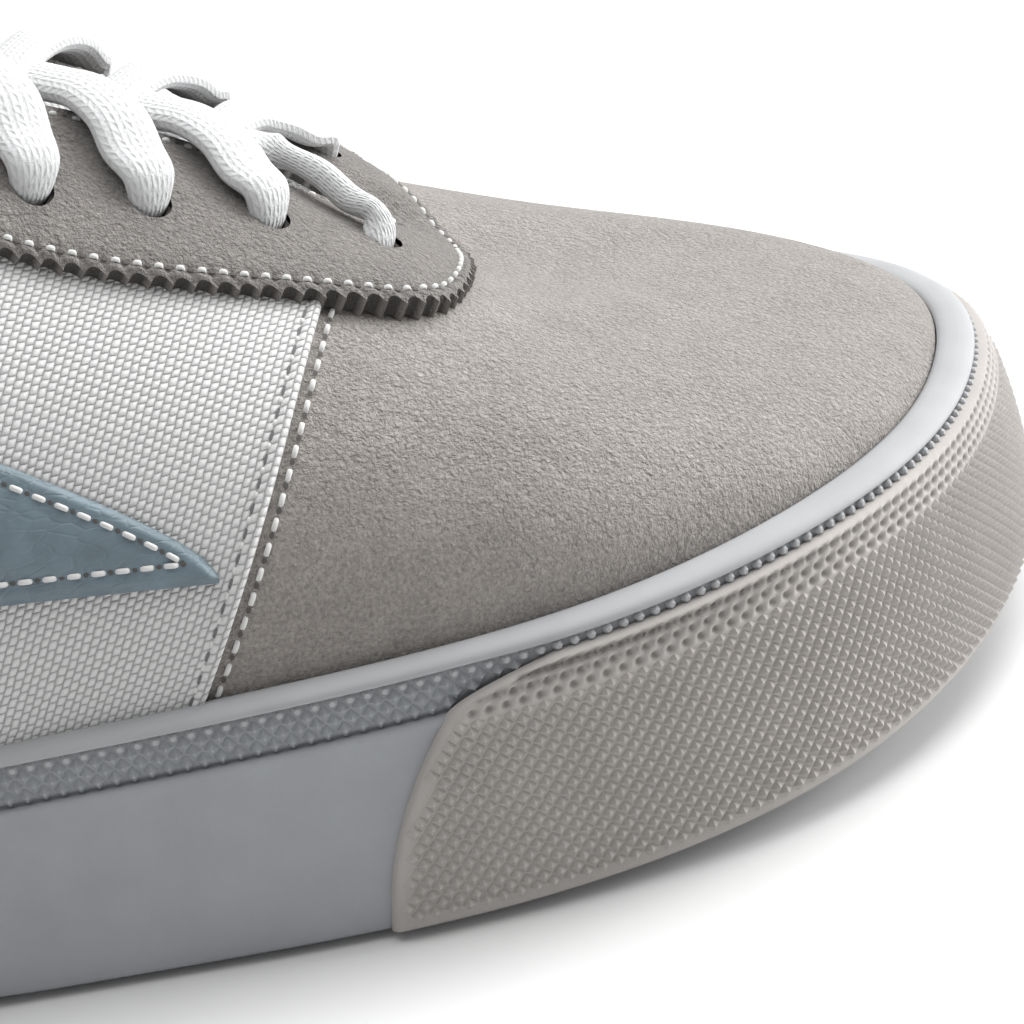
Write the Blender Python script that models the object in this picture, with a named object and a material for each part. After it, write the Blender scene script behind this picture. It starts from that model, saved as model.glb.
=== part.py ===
# Low skateboarding shoe for the left foot: toe towards +X, inner side towards -Y, floor at z = 0.
import math

import bmesh
import bpy
import numpy as np
from mathutils import Vector

MM = 0.001

# Overall sizes
LENGTH = 296.0 * MM
BALL_WIDTH = 110.0 * MM
INSTEP_HEIGHT = 103.0 * MM
GAP = 0.3 * MM

# Sole
FOXING_HEIGHT = 28.2 * MM
TOE_BATTER = 4.4 * MM
TOE_SPRING = 9.0 * MM
HEEL_SPRING = 1.5 * MM
ARCH_RISE = 1.5 * MM
FOXING_WALL = 3.4 * MM
FOOTBED_HEIGHT = 10.0 * MM
OUTSOLE_THICKNESS = 4.0 * MM
OUTSOLE_INSET = 3.4 * MM
WALL_CLEARANCE = 0.9 * MM
BAND_DEPTH = 1.2 * MM
BAND_HEIGHT = 6.0 * MM
BEAD_HEIGHT = 1.2 * MM
BEAD_DEPTH = 2.6 * MM
EDGE_ROUND = 1.0 * MM
SPRING_FROM = 0.66
HEEL_EDGE = 0.05
ARCH_MIDDLE = 0.44
ARCH_HALF = 0.13

# Toe bumper
BUMPER_THICKNESS = 1.2 * MM
BUMPER_TOP_BELOW_FOXING = 2.0 * MM
BUMPER_REACH = 94.5 * MM
BUMPER_FOOT = 1.1 * MM
BUMPER_SWEEP = 13.0 * MM
BUMPER_SWEEP_POWER = 2.0
BUMPER_TOP_RECESS = 0.2 * MM

# Upper and what is sewn on it
WALL = 2.0 * MM
COLLAR_PAD = 5.0 * MM
PAD_FROM, PAD_FULL = 0.45, 0.8
PAD_EDGE, PAD_EDGE_LOSS = 0.85, 0.45
SKIN_GAP = 0.6 * MM
CANVAS = 0.9 * MM
SUEDE = 1.5 * MM
LEATHER = 1.4 * MM
SEAM_FOOT_FROM_TOE = 109.0 * MM
SEAM_LEAN = 36.0 * MM
SEAM_TOP_RISE = 0.62
HEEL_SEAM_HALF = 0.3 * MM
QUARTER_FOOT_RISE = 0.02
QUARTER_SOFTENING = 4
THROAT_BAND = 28.0 * MM
THROAT_BAND_TAPER = 0.15
THROAT_FRONT_BAND = 10.0 * MM
EYESTAY_TOP_RISE = 0.985
EYESTAY_STEP = 2.5
CANVAS_UNDER_BAND = 5.0 * MM
COLLAR_BAND = 9.0 * MM
COUNTER_HALF_LENGTH = 44.0 * MM
COUNTER_HEIGHT = 36.0 * MM
COUNTER_DROP = 0.55
PATCH_LENGTH = 80.0 * MM
PATCH_HEIGHT = 16.0 * MM
PATCH_FRONT_FROM_TOE = 105.0 * MM
PATCH_TIP_HEIGHT = 12.2 * MM
PATCH_SLOPE = 0.13
PATCH_TAPER = 0.5
PATCH_TIP_RADIUS = 0.75 * MM

# Lacing
EYELET_COUNT = 6
EYELET_PITCH = 12.0 * MM
EYELET_FIRST = 20.5 * MM
EYELET_FROM_EDGE = 14.0 * MM
EYELET_RADIUS = 2.2 * MM
EYELET_LIFT = 0.7
LACE_WIDTH = 6.5 * MM
LACE_THICKNESS = 1.4 * MM
LACE_CLEARANCE = 0.9 * MM
LACE_CROWN = 3.0 * MM
LACE_BEND = 0.3

# Tongue and insole
TONGUE_THICKNESS = 5.0 * MM
TONGUE_UNDER_EDGE = 15.0 * MM
TONGUE_TOP_UNDER_EDGE = 6.0 * MM
THROAT_SHARE_UNDER = 0.85
TONGUE_CLEARANCE = 0.5 * MM
TONGUE_RISE = 30.0 * MM
TONGUE_TAPER_FROM = 45.0 * MM
# Rows of the tongue above the throat: share of TONGUE_RISE and share of the width under it
TONGUE_TOP = ((0.12, 0.84), (0.3, 0.72), (0.5, 0.86), (0.8, 1.15), (1.0, 1.05))
TONGUE_FOOT = 9.0 * MM
TONGUE_ROWS = 12
TONGUE_CROWN = 0.12
INSOLE_THICKNESS = 4.0 * MM

# Mesh density: points round the large rings, columns and rows of the sewn pieces, and rows of the upper
RING_POINTS = 64
EYELET_SIDES = 10
BUMPER_GRID = (36, 7)
QUARTER_GRID = (30, 8)
EYESTAY_GRID = (49, 5)
COUNTER_GRID = (17, 6)
PATCH_GRID = (15, 6)
OUTER_RISES = (-1.0, 0.0, 0.1, 0.22, 0.35, 0.48, 0.6, 0.7, 0.8, 0.9, 1.0)
LINING_RISES = (1.0, 0.88, 0.74, 0.58, 0.42, 0.26, 0.12, 0.0, -1.0)
TOWARD_SPINE = (0.45, 0.9)
PATH_POINTS = 81

# Sections round the shoe, from the back of the heel along the inner side to the toe and back.
# along and across are shares of LENGTH and BALL_WIDTH, side is a share of FOXING_HEIGHT, batter of
# TOE_BATTER and top_height of INSTEP_HEIGHT, angles are in degrees, pulls are shares of each
# section's chord, pad is a share of COLLAR_PAD.
COLUMNS = ("along", "across", "side", "batter", "top_along", "top_across", "top_height",
           "lean", "foot_pull", "slope", "top_pull", "pad")
SECTIONS = (
    (0.000,  0.000, 1.09, 0.0, 0.0300,  0.005, 0.755,   5, 0.40, 86, 0.40, 1.0),
    (0.018, -0.165, 1.08, 0.0, 0.0500, -0.108, 0.725,   5, 0.40, 84, 0.40, 1.0),
    (0.070, -0.278, 1.06, 0.0, 0.1080, -0.178, 0.665,   5, 0.40, 82, 0.38, 1.0),
    (0.160, -0.338, 1.03, 0.0, 0.1900, -0.216, 0.620,   5, 0.38, 80, 0.36, 1.0),
    (0.280, -0.350, 1.00, 0.0, 0.2850, -0.212, 0.655,   5, 0.36, 74, 0.34, 1.0),
    (0.400, -0.365, 0.99, 0.0, 0.3900, -0.165, 0.835,   6, 0.36, 58, 0.32, 0.8),
    (0.510, -0.392, 1.00, 0.0, 0.5090, -0.120, 0.970,   6, 0.36, 46, 0.30, 0.2),
    (0.600, -0.438, 1.03, 0.0, 0.5840, -0.092, 0.865,   5, 0.36, 43, 0.30, 0.0),
    (0.690, -0.482, 1.07, 0.0, 0.6450, -0.076, 0.768,   4, 0.33, 43, 0.30, 0.0),
    (0.775, -0.496, 1.12, 0.0, 0.6890, -0.066, 0.692,   2, 0.27, 41, 0.30, 0.0),
    (0.859, -0.456, 1.16, 0.4, 0.7260, -0.060, 0.610,  -4, 0.19, 38, 0.29, 0.0),
    (0.931, -0.338, 1.14, 0.8, 0.7470, -0.048, 0.560, -10, 0.15, 38, 0.27, 0.0),
    (0.980, -0.170, 1.11, 1.0, 0.7570, -0.026, 0.532, -14, 0.13, 36, 0.25, 0.0),
    (1.000,  0.010, 1.10, 1.0, 0.7600,  0.000, 0.524, -16, 0.13, 35, 0.25, 0.0),
    (0.990,  0.130, 1.10, 1.0, 0.7570,  0.026, 0.532, -14, 0.13, 36, 0.25, 0.0),
    (0.955,  0.235, 1.12, 0.8, 0.7470,  0.048, 0.560, -10, 0.15, 38, 0.27, 0.0),
    (0.900,  0.342, 1.14, 0.4, 0.7260,  0.060, 0.610,  -6, 0.15, 39, 0.29, 0.0),
    (0.830,  0.428, 1.13, 0.0, 0.6890,  0.066, 0.692,   0, 0.20, 41, 0.30, 0.0),
    (0.745,  0.482, 1.09, 0.0, 0.6450,  0.076, 0.768,   3, 0.28, 43, 0.30, 0.0),
    (0.655,  0.496, 1.05, 0.0, 0.5840,  0.092, 0.865,   5, 0.33, 44, 0.30, 0.0),
    (0.550,  0.464, 1.01, 0.0, 0.5090,  0.120, 0.970,   6, 0.36, 46, 0.30, 0.2),
    (0.430,  0.412, 0.99, 0.0, 0.3900,  0.172, 0.835,   6, 0.36, 58, 0.32, 0.8),
    (0.300,  0.372, 1.00, 0.0, 0.2850,  0.222, 0.645,   5, 0.36, 74, 0.34, 1.0),
    (0.170,  0.345, 1.03, 0.0, 0.1900,  0.224, 0.610,   5, 0.38, 80, 0.36, 1.0),
    (0.072,  0.285, 1.06, 0.0, 0.1080,  0.186, 0.660,   5, 0.40, 82, 0.38, 1.0),
    (0.018,  0.168, 1.08, 0.0, 0.0500,  0.114, 0.725,   5, 0.40, 84, 0.40, 1.0),
)
INNER, OUTER = -1, 1
TOE_SECTION = 13
TOP_INNER_SECTION = 6
TOP_OUTER_SECTION = 20


def periodic_spline(rows):
    """Cubic spline through the rows and back to the first, read at shares of the way round."""
    step = np.linalg.norm(np.diff(rows[:, :2], axis=0, append=rows[:1, :2]), axis=1)
    knots = np.concatenate([[0.0], np.cumsum(step)])
    count = len(rows)
    matrix = np.zeros((count, count))
    turn = np.zeros_like(rows)
    for i in range(count):
        before, after = step[i - 1], step[i]
        onward = (i + 1) % count
        matrix[i, i - 1] += before
        matrix[i, i] += 2 * (before + after)
        matrix[i, onward] += after
        turn[i] = 6 * ((rows[onward] - rows[i]) / after - (rows[i] - rows[i - 1]) / before)
    bend = np.linalg.solve(matrix, turn)

    def read(share):
        way = np.mod(np.asarray(share, float), 1.0) * knots[-1]
        i = np.clip(np.searchsorted(knots, way, side="right") - 1, 0, count - 1)
        j = (i + 1) % count
        h = step[i][..., None]
        a = (knots[i + 1] - way)[..., None] / h
        b = 1 - a
        curved = (a ** 3 - a) * bend[i] + (b ** 3 - b) * bend[j]
        return a * rows[i] + b * rows[j] + curved * h * h / 6

    return read, knots / knots[-1]


def section_sizes():
    """The table of sections in metres and radians, with the middle of the length at x = 0."""
    rows = np.array(SECTIONS, float)
    column = {name: index for index, name in enumerate(COLUMNS)}
    body = LENGTH - BUMPER_THICKNESS - GAP
    for name in ("along", "top_along"):
        rows[:, column[name]] = rows[:, column[name]] * body - LENGTH / 2
    for name in ("across", "top_across"):
        rows[:, column[name]] *= BALL_WIDTH
    rows[:, column["side"]] *= FOXING_HEIGHT
    rows[:, column["batter"]] *= TOE_BATTER
    rows[:, column["top_height"]] *= INSTEP_HEIGHT
    rows[:, column["lean"]] = np.radians(rows[:, column["lean"]])
    rows[:, column["slope"]] = np.radians(rows[:, column["slope"]])
    rows[:, column["pad"]] *= COLLAR_PAD
    return rows


FORM, KNOTS = periodic_spline(section_sizes())
TOE = KNOTS[TOE_SECTION]
TOP_INNER = KNOTS[TOP_INNER_SECTION]
TOP_OUTER = KNOTS[TOP_OUTER_SECTION]


def section(share, name):
    """One column of the form at a share of the way round."""
    return FORM(share)[..., COLUMNS.index(name)]


def toe_lift(x):
    """Rise of the sole towards the toe."""
    share = x / LENGTH + 0.5
    return TOE_SPRING * np.clip((share - SPRING_FROM) / (1 - SPRING_FROM), 0, None) ** 2


def ground(x):
    """Height of the outsole's underside: flat at heel and forefoot, raised at arch, toe and heel edge."""
    share = x / LENGTH + 0.5
    heel = np.clip((HEEL_EDGE - share) / HEEL_EDGE, 0, None)
    arch = np.clip(1 - ((share - ARCH_MIDDLE) / ARCH_HALF) ** 2, 0, None)
    return toe_lift(x) + HEEL_SPRING * heel ** 2 + ARCH_RISE * arch ** 2


def footbed(x):
    """Height of the floor inside the sole's wall."""
    return FOOTBED_HEIGHT + toe_lift(x)


def outline(share, inset=0.0):
    """Point of the sole's outline in plan, moved inwards by inset."""
    reach = 1e-3
    way = FORM(np.asarray(share) + reach)[..., :2] - FORM(np.asarray(share) - reach)[..., :2]
    way /= np.linalg.norm(way, axis=-1)[..., None]
    inward = np.stack([-way[..., 1], way[..., 0]], -1)
    return FORM(share)[..., :2] + inward * np.asarray(inset)[..., None]


def side_point(share, inset, height):
    """Point of the sole's side: height 0 is the ground and 1 the foxing's top, where the batter is full."""
    share, inset, height = np.broadcast_arrays(np.asarray(share, float), inset, height)
    lean = section(share, "batter") * np.clip(height, 0, 1) ** 2
    plan = outline(share, inset + lean)
    floor = ground(plan[..., 0])
    top = section(share, "side")
    return np.concatenate([plan, (floor + (top - floor) * height)[..., None]], -1)


def level_point(share, inset, lift):
    """Point of the sole's side at a lift above the ground under it."""
    height = lift / (section(share, "side") - ground(outline(share)[..., 0]))
    point = side_point(share, inset, height)
    point[..., 2] = ground(point[..., 0]) + lift
    return point


def upper_face(share, rise):
    """Outer face of the upper: rise 0 at the foxing's top, 1 at the topline, -1 at the footbed."""
    share, rise = np.broadcast_arrays(np.asarray(share, float), np.asarray(rise, float))
    foot = side_point(share, FOXING_WALL + GAP, 1.0)
    top = np.stack([section(share, name) for name in ("top_along", "top_across", "top_height")], -1)
    flat = top[..., :2] - foot[..., :2]
    reach = np.linalg.norm(flat, axis=-1)
    inward = flat / reach[..., None]
    chord = np.hypot(reach, top[..., 2] - foot[..., 2])
    lean, slope = section(share, "lean"), section(share, "slope")
    low_pull = section(share, "foot_pull") * chord
    high_pull = section(share, "top_pull") * chord

    def handle(start, along, up):
        return start + np.concatenate([inward * along[..., None], up[..., None]], -1)

    low = handle(foot, -np.sin(lean) * low_pull, np.cos(lean) * low_pull)
    high = handle(top, -np.cos(slope) * high_pull, -np.sin(slope) * high_pull)
    t = np.clip(rise, 0, 1)[..., None]
    point = ((1 - t) ** 3 * foot + 3 * (1 - t) ** 2 * t * low
             + 3 * (1 - t) * t ** 2 * high + t ** 3 * top)
    margin = np.clip(-rise, 0, None)
    bed = footbed(point[..., 0]) + GAP
    point[..., 2] += margin * (bed - point[..., 2])
    return point


def upper_normal(share, rise):
    """Outward direction of the upper's face."""
    across, along = 2e-4, 1e-3
    rise = np.clip(rise, 0, 1)
    round_way = upper_face(share + across, rise) - upper_face(share - across, rise)
    up_way = (upper_face(share, np.minimum(rise + along, 1))
              - upper_face(share, np.maximum(rise - along, 0)))
    normal = np.cross(round_way, up_way)
    return normal / np.linalg.norm(normal, axis=-1)[..., None]


def upper(share, rise, offset=0.0):
    """Point at a distance outside the upper's face."""
    share, rise = np.broadcast_arrays(np.asarray(share, float), np.asarray(rise, float))
    return upper_face(share, rise) + upper_normal(share, rise) * np.asarray(offset)[..., None]


def side_range(side):
    """Shares of the way round from the heel to the toe on one side."""
    return np.linspace(0.0 if side == INNER else 1.0, TOE, 3 * PATH_POINTS)


def share_at(side, x, rise=0.0):
    """Share of the way round where the upper's face at this rise passes x on one side."""
    shares = side_range(side)
    return np.interp(x, upper_face(shares, rise)[:, 0], shares)


def rise_below_top(share, distance):
    """Rise of the point that lies a distance below the topline along the upper's face."""
    rises = np.linspace(1, 0, PATH_POINTS)
    path = upper_face(share, rises)
    way = np.concatenate([[0], np.cumsum(np.linalg.norm(np.diff(path, axis=0), axis=1))])
    return np.interp(distance, way, rises)


def rise_above_foxing(share, distance):
    """Rise of the point that lies a distance above the foxing along the upper's face."""
    rises = np.linspace(0, 1, PATH_POINTS)
    path = upper_face(share, rises)
    way = np.concatenate([[0], np.cumsum(np.linalg.norm(np.diff(path, axis=0), axis=1))])
    return np.interp(distance, way, rises)


def share_along_throat(side, distance):
    """Share of the way round at a distance from the throat's front end along its edge."""
    shares = np.linspace(TOE, TOP_INNER if side == INNER else TOP_OUTER, 2 * PATH_POINTS)
    path = upper_face(shares, 1.0)
    way = np.concatenate([[0], np.cumsum(np.linalg.norm(np.diff(path, axis=0), axis=1))])
    return np.interp(distance, way, shares)


def smooth_step(value):
    """Soft change from 0 to 1."""
    value = np.clip(value, 0, 1)
    return value * value * (3 - 2 * value)


def throat_distance(share):
    """Distance along the throat's edge from its front end."""
    shares = np.linspace(TOE, share, PATH_POINTS)
    path = upper_face(shares, 1.0)
    return np.linalg.norm(np.diff(path, axis=0), axis=1).sum()


def clear_scene():
    """Remove what the scene holds."""
    for item in list(bpy.data.objects):
        bpy.data.objects.remove(item, do_unlink=True)


def make_collection(name):
    """Collection in the scene."""
    group = bpy.data.collections.new(name)
    bpy.context.scene.collection.children.link(group)
    return group


def make_material(name, color, roughness):
    """Plain surface of one colour."""
    material = bpy.data.materials.new(name)
    material.use_nodes = True
    surface = material.node_tree.nodes["Principled BSDF"]
    surface.inputs["Base Color"].default_value = (*color, 1.0)
    surface.inputs["Roughness"].default_value = roughness
    surface.inputs["Metallic"].default_value = 0.0
    return material


def add_mesh(name, points, faces, material, group):
    """Object from points and faces, with its faces pointing out."""
    mesh = bpy.data.meshes.new(name)
    mesh.from_pydata([tuple(point) for point in points], [], faces)
    shape = bmesh.new()
    shape.from_mesh(mesh)
    bmesh.ops.recalc_face_normals(shape, faces=shape.faces[:])
    shape.to_mesh(mesh)
    shape.free()
    mesh.shade_smooth()
    mesh.set_sharp_from_angle(angle=math.radians(35))
    item = bpy.data.objects.new(name, mesh)
    if material is not None:
        mesh.materials.append(material)
    group.objects.link(item)
    return item


def bridge(rings, wrap):
    """Quads between rings of equal point counts, from the last back to the first if wrapped."""
    count = len(rings[0])
    faces = []
    for ring in range(len(rings) if wrap else len(rings) - 1):
        near = ring * count
        far = ((ring + 1) % len(rings)) * count
        for k in range(count):
            onward = (k + 1) % count
            faces.append((near + k, near + onward, far + onward, far + k))
    return faces


def strip_cap(first, half):
    """Quads that close a loop made of one run and the same run back."""
    last = first + 2 * half - 1
    return [(first + k, first + k + 1, last - k - 1, last - k) for k in range(half - 1)]


def ring_cap(first):
    """Faces across a narrow ring, from its heel point to its toe point."""
    middle = RING_POINTS // 2
    faces = [(first, first + 1, first + RING_POINTS - 1)]
    for k in range(1, middle - 1):
        faces.append((first + k, first + k + 1, first + RING_POINTS - k - 1, first + RING_POINTS - k))
    faces.append((first + middle - 1, first + middle, first + middle + 1))
    return faces


def add_band(name, loops, half, material, group):
    """Closed strip through loops, each an outer run followed by the inner run back."""
    faces = bridge(loops, False)
    faces += strip_cap(0, half)
    faces += strip_cap((len(loops) - 1) * 2 * half, half)
    return add_mesh(name, np.concatenate(loops), faces, material, group)


def sewn_panel(name, shares, rises, low, high, material, group):
    """Piece sewn on the upper: a grid of shares and rises between two offsets from its face."""
    loops = []
    for share_row, rise_row, low_row, high_row in zip(shares, rises, low, high):
        outside = upper(share_row, rise_row, high_row)
        inside = upper(share_row, rise_row, low_row)
        loops.append(np.concatenate([outside, inside[::-1]]))
    return add_band(name, loops, len(rises[0]), material, group)


def ring_shares():
    """Shares of the way round at which the large rings have their points."""
    return np.arange(RING_POINTS) / RING_POINTS


def toward_spine(ring, share, level):
    """Ring drawn towards the middle line of the sole, on the same heights over a level."""
    middle = ring.copy()
    middle[:, 0] = np.clip(ring[:, 0], ring[:, 0].min() + BALL_WIDTH / 3,
                           ring[:, 0].max() - BALL_WIDTH / 3)
    middle[:, 1] = 0.0
    moved = ring + (middle - ring) * share
    moved[:, 2] = ring[:, 2] - level(ring[:, 0]) + level(moved[:, 0])
    return moved


def make_outsole(material, group):
    """Tread sheet inside the foxing's lower edge."""
    shares = ring_shares()
    plan = outline(shares, OUTSOLE_INSET)
    under = np.column_stack([plan, ground(plan[:, 0])])
    over = under + [0, 0, OUTSOLE_THICKNESS]
    rings = [toward_spine(under, step, ground) for step in reversed(TOWARD_SPINE)] + [under, over]
    rings += [toward_spine(over, step, ground) for step in TOWARD_SPINE]
    points = np.concatenate(rings)
    points[:, 2] = np.round(points[:, 2], 7)
    faces = bridge(rings, False)
    faces += ring_cap(0) + ring_cap(len(points) - RING_POINTS)
    return add_mesh("outsole", points, faces, material, group)


def make_midsole(material, group):
    """Midsole with the foxing wall, the patterned band's step and the bead round its top."""
    shares = ring_shares()
    side = section(shares, "side") - ground(outline(shares)[:, 0])
    ledge = 1 - BAND_HEIGHT / side
    rim = 1 - BEAD_HEIGHT / side
    low_profile = (
        (OUTSOLE_INSET - GAP, OUTSOLE_THICKNESS + GAP), (OUTSOLE_INSET - GAP, WALL_CLEARANCE),
        (EDGE_ROUND, WALL_CLEARANCE), (0.0, WALL_CLEARANCE + 2 * EDGE_ROUND),
    )
    side_profile = (
        (0.0, ledge - EDGE_ROUND / side), (0.5 * EDGE_ROUND, ledge), (BAND_DEPTH, ledge),
        (BAND_DEPTH + 0.3 * EDGE_ROUND, rim),
        (BAND_DEPTH - 0.4 * EDGE_ROUND, rim + 0.3 * EDGE_ROUND / side),
        (BAND_DEPTH, 1 - 0.6 * EDGE_ROUND / side), (BEAD_DEPTH, 1.0 + 0 * side),
        (FOXING_WALL, 1 - 0.7 * EDGE_ROUND / side),
    )
    rings = [level_point(shares, inset, lift) for inset, lift in low_profile]
    rings += [side_point(shares, inset, height) for inset, height in side_profile]
    floor = level_point(shares, FOXING_WALL, FOOTBED_HEIGHT)
    floor[:, 2] = footbed(floor[:, 0])
    rings.append(floor)
    under = rings[0].copy()
    over = rings[-1].copy()
    rings = [toward_spine(under, step, ground) for step in reversed(TOWARD_SPINE)] + rings
    rings += [toward_spine(over, step, footbed) for step in TOWARD_SPINE]
    faces = bridge(rings, False)
    total = len(rings) * RING_POINTS
    faces += ring_cap(0) + ring_cap(total - RING_POINTS)
    return add_mesh("midsole", np.concatenate(rings), faces, material, group)


def make_toe_bumper(material, group):
    """Rubber cap round the toe, its back edges swept forwards as they rise."""
    columns, rows = BUMPER_GRID
    loops = []
    foot = BUMPER_FOOT / FOXING_HEIGHT
    top = 1 - BUMPER_TOP_BELOW_FOXING / FOXING_HEIGHT
    for u in np.linspace(0, 1, columns):
        heights = np.linspace(foot, top, rows)
        sweep = BUMPER_SWEEP * heights ** BUMPER_SWEEP_POWER
        starts = np.array([share_at(INNER, LENGTH / 2 - BUMPER_REACH + d) for d in sweep])
        ends = np.array([share_at(OUTER, LENGTH / 2 - BUMPER_REACH + d) for d in sweep])
        shares = starts + (ends - starts) * u
        depth = np.where(heights > 1 - BAND_HEIGHT / FOXING_HEIGHT, BUMPER_TOP_RECESS, 0.0)
        outside = side_point(shares, depth - GAP - BUMPER_THICKNESS, heights)
        inside = side_point(shares, -GAP + 0 * heights, heights)
        loops.append(np.concatenate([outside, inside[::-1]]))
    return add_band("toe_bumper", loops, rows, material, group)


def wall_thickness(share, rise):
    """Wall of the upper, padded round the collar."""
    pad = np.clip(section(share, "pad"), 0, None)
    growth = smooth_step((rise - PAD_FROM) / (PAD_FULL - PAD_FROM))
    loss = PAD_EDGE_LOSS * smooth_step((rise - PAD_EDGE) / (1 - PAD_EDGE))
    return WALL + pad * growth * (1 - loss)


def make_upper(material, group):
    """Hollow upper: outer face, rounded topline, lined inner face and the margin in the cup."""
    shares = ring_shares()
    rings = [upper(shares, rise, 0 * shares) for rise in OUTER_RISES]
    edge = wall_thickness(shares, 1.0)
    step = upper_face(shares, 1.0) - upper_face(shares, 0.98)
    step /= np.linalg.norm(step, axis=1)[:, None]
    rings.append(upper(shares, 1.0, -edge / 2) + step * edge[:, None] * 0.3)
    for rise in LINING_RISES:
        rings.append(upper(shares, rise, -wall_thickness(shares, rise)))
    return add_mesh("upper", np.concatenate(rings), bridge(rings, True), material, group)


def seam_share(side, rise):
    """Share of the way round of the canvas quarter's front edge at a rise."""
    return share_at(side, LENGTH / 2 - SEAM_FOOT_FROM_TOE + SEAM_LEAN * rise, rise)


def band_width(share):
    """Width of the eyestay: narrow round the throat's front end."""
    distance = throat_distance(share)
    along = smooth_step(distance / THROAT_BAND)
    taper = THROAT_BAND_TAPER * np.clip(distance - THROAT_BAND, 0, None)
    return THROAT_FRONT_BAND + (THROAT_BAND - THROAT_FRONT_BAND) * along - taper


def top_of_quarter(share):
    """Rise of the canvas quarter's top edge: under the eyestay, and below the collar band."""
    at_throat = TOP_INNER < share < TOP_OUTER
    drop = band_width(share) - CANVAS_UNDER_BAND if at_throat else COLLAR_BAND
    return rise_below_top(share, drop)


def make_quarter(name, side, material, group):
    """Canvas side from the heel's middle to the vamp seam."""
    columns, rows = QUARTER_GRID
    start = HEEL_SEAM_HALF / perimeter()
    start = start if side == INNER else 1 - start
    way = np.linspace(0, 1, PATH_POINTS)
    tops = start + (seam_share(side, SEAM_TOP_RISE) - start) * way
    heights = np.array([top_of_quarter(share) for share in tops])
    ends = np.full(QUARTER_SOFTENING, 1.0)
    padded = np.concatenate([heights[0] * ends, heights, heights[-1] * ends])
    window = 2 * QUARTER_SOFTENING + 1
    heights = np.convolve(padded, np.ones(window) / window, mode="valid")
    shares, rises, low, high = [], [], [], []
    for u in np.linspace(0, 1, columns):
        rise_row = np.linspace(QUARTER_FOOT_RISE, 1, rows) * np.interp(u, way, heights)
        front = np.array([seam_share(side, rise) for rise in rise_row])
        shares.append(start + (front - start) * u)
        rises.append(rise_row)
        low.append(np.full(rows, SKIN_GAP))
        high.append(np.full(rows, SKIN_GAP + CANVAS))
    return sewn_panel(name, shares, rises, low, high, material, group)


def make_eyestay(material, group):
    """U-shaped suede band round the throat, over the canvas behind and the vamp in front."""
    columns, rows = EYESTAY_GRID
    shares, rises, low, high = [], [], [], []
    step_down = np.clip(EYESTAY_STEP * np.linspace(1, 0, rows), 0, 1)
    for share in np.linspace(TOP_INNER, TOP_OUTER, columns):
        rise_row = np.linspace(rise_below_top(share, band_width(share)), EYESTAY_TOP_RISE, rows)
        behind = smooth_step((throat_distance(share) - EYELET_RADIUS) / (3 * EYELET_RADIUS))
        lift = SKIN_GAP + (SKIN_GAP + CANVAS) * behind * step_down
        shares.append(np.full(rows, share))
        rises.append(rise_row)
        low.append(lift)
        high.append(lift + SUEDE)
    return sewn_panel("eyestay", shares, rises, low, high, material, group)


def make_heel_counter(material, group):
    """Suede patch round the heel over the canvas."""
    columns, rows = COUNTER_GRID
    reach = COUNTER_HALF_LENGTH / perimeter()
    shares, rises, low, high = [], [], [], []
    for u in np.linspace(-1, 1, columns):
        share = u * reach
        top = rise_above_foxing(share, COUNTER_HEIGHT * (1 - COUNTER_DROP * smooth_step(abs(u))))
        shares.append(np.full(rows, share))
        rises.append(np.linspace(QUARTER_FOOT_RISE, top, rows))
        low.append(np.full(rows, 2 * SKIN_GAP + CANVAS))
        high.append(np.full(rows, 2 * SKIN_GAP + CANVAS + SUEDE))
    return sewn_panel("heel_counter", shares, rises, low, high, material, group)


def perimeter():
    """Way round the sole's outline."""
    path = outline(np.linspace(0, 1, 5 * PATH_POINTS))
    return np.linalg.norm(np.diff(path, axis=0), axis=1).sum()


def patch_edges(back):
    """Heights of the patch's lower and upper edge at a distance behind its front tip."""

    def taper(distance):
        return np.sqrt((PATCH_TAPER * distance) ** 2 + 8 * PATCH_TIP_RADIUS * distance)

    line = PATCH_TIP_HEIGHT + PATCH_SLOPE * back
    low = line + np.clip(PATCH_HEIGHT - taper(PATCH_LENGTH - back), 0, None)
    high = line + np.clip(taper(back), None, PATCH_HEIGHT)
    return low, high


def make_side_patch(name, side, material, group):
    """Plain leather patch on the canvas side: a slanting bar with tapered, rounded ends."""
    columns, rows = PATCH_GRID
    shares, rises, low, high = [], [], [], []
    for turn in np.linspace(0, math.pi, columns):
        end = PATCH_TIP_RADIUS / 2
        back = end + (PATCH_LENGTH - 2 * end) * (1 - math.cos(turn)) / 2
        bottom, top = patch_edges(back)
        heights = np.linspace(bottom, top, rows)
        share = share_at(side, LENGTH / 2 - PATCH_FRONT_FROM_TOE - back, heights.mean() / INSTEP_HEIGHT)
        shares.append(np.full(rows, share))
        rises.append(np.array([rise_above_foxing(share, height) for height in heights]))
        low.append(np.full(rows, 2 * SKIN_GAP + CANVAS))
        high.append(np.full(rows, 2 * SKIN_GAP + CANVAS + LEATHER))
    return sewn_panel(name, shares, rises, low, high, material, group)


def eyelet_place(side, index):
    """Share, rise, point and outward direction of an eyelet on the eyestay's surface."""
    share = share_along_throat(side, EYELET_FIRST + index * EYELET_PITCH)
    rise = rise_below_top(share, EYELET_FROM_EDGE)
    lift = SKIN_GAP + SUEDE + (SKIN_GAP + CANVAS) * EYELET_LIFT
    return upper(share, rise, lift), upper_normal(share, rise)


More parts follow.
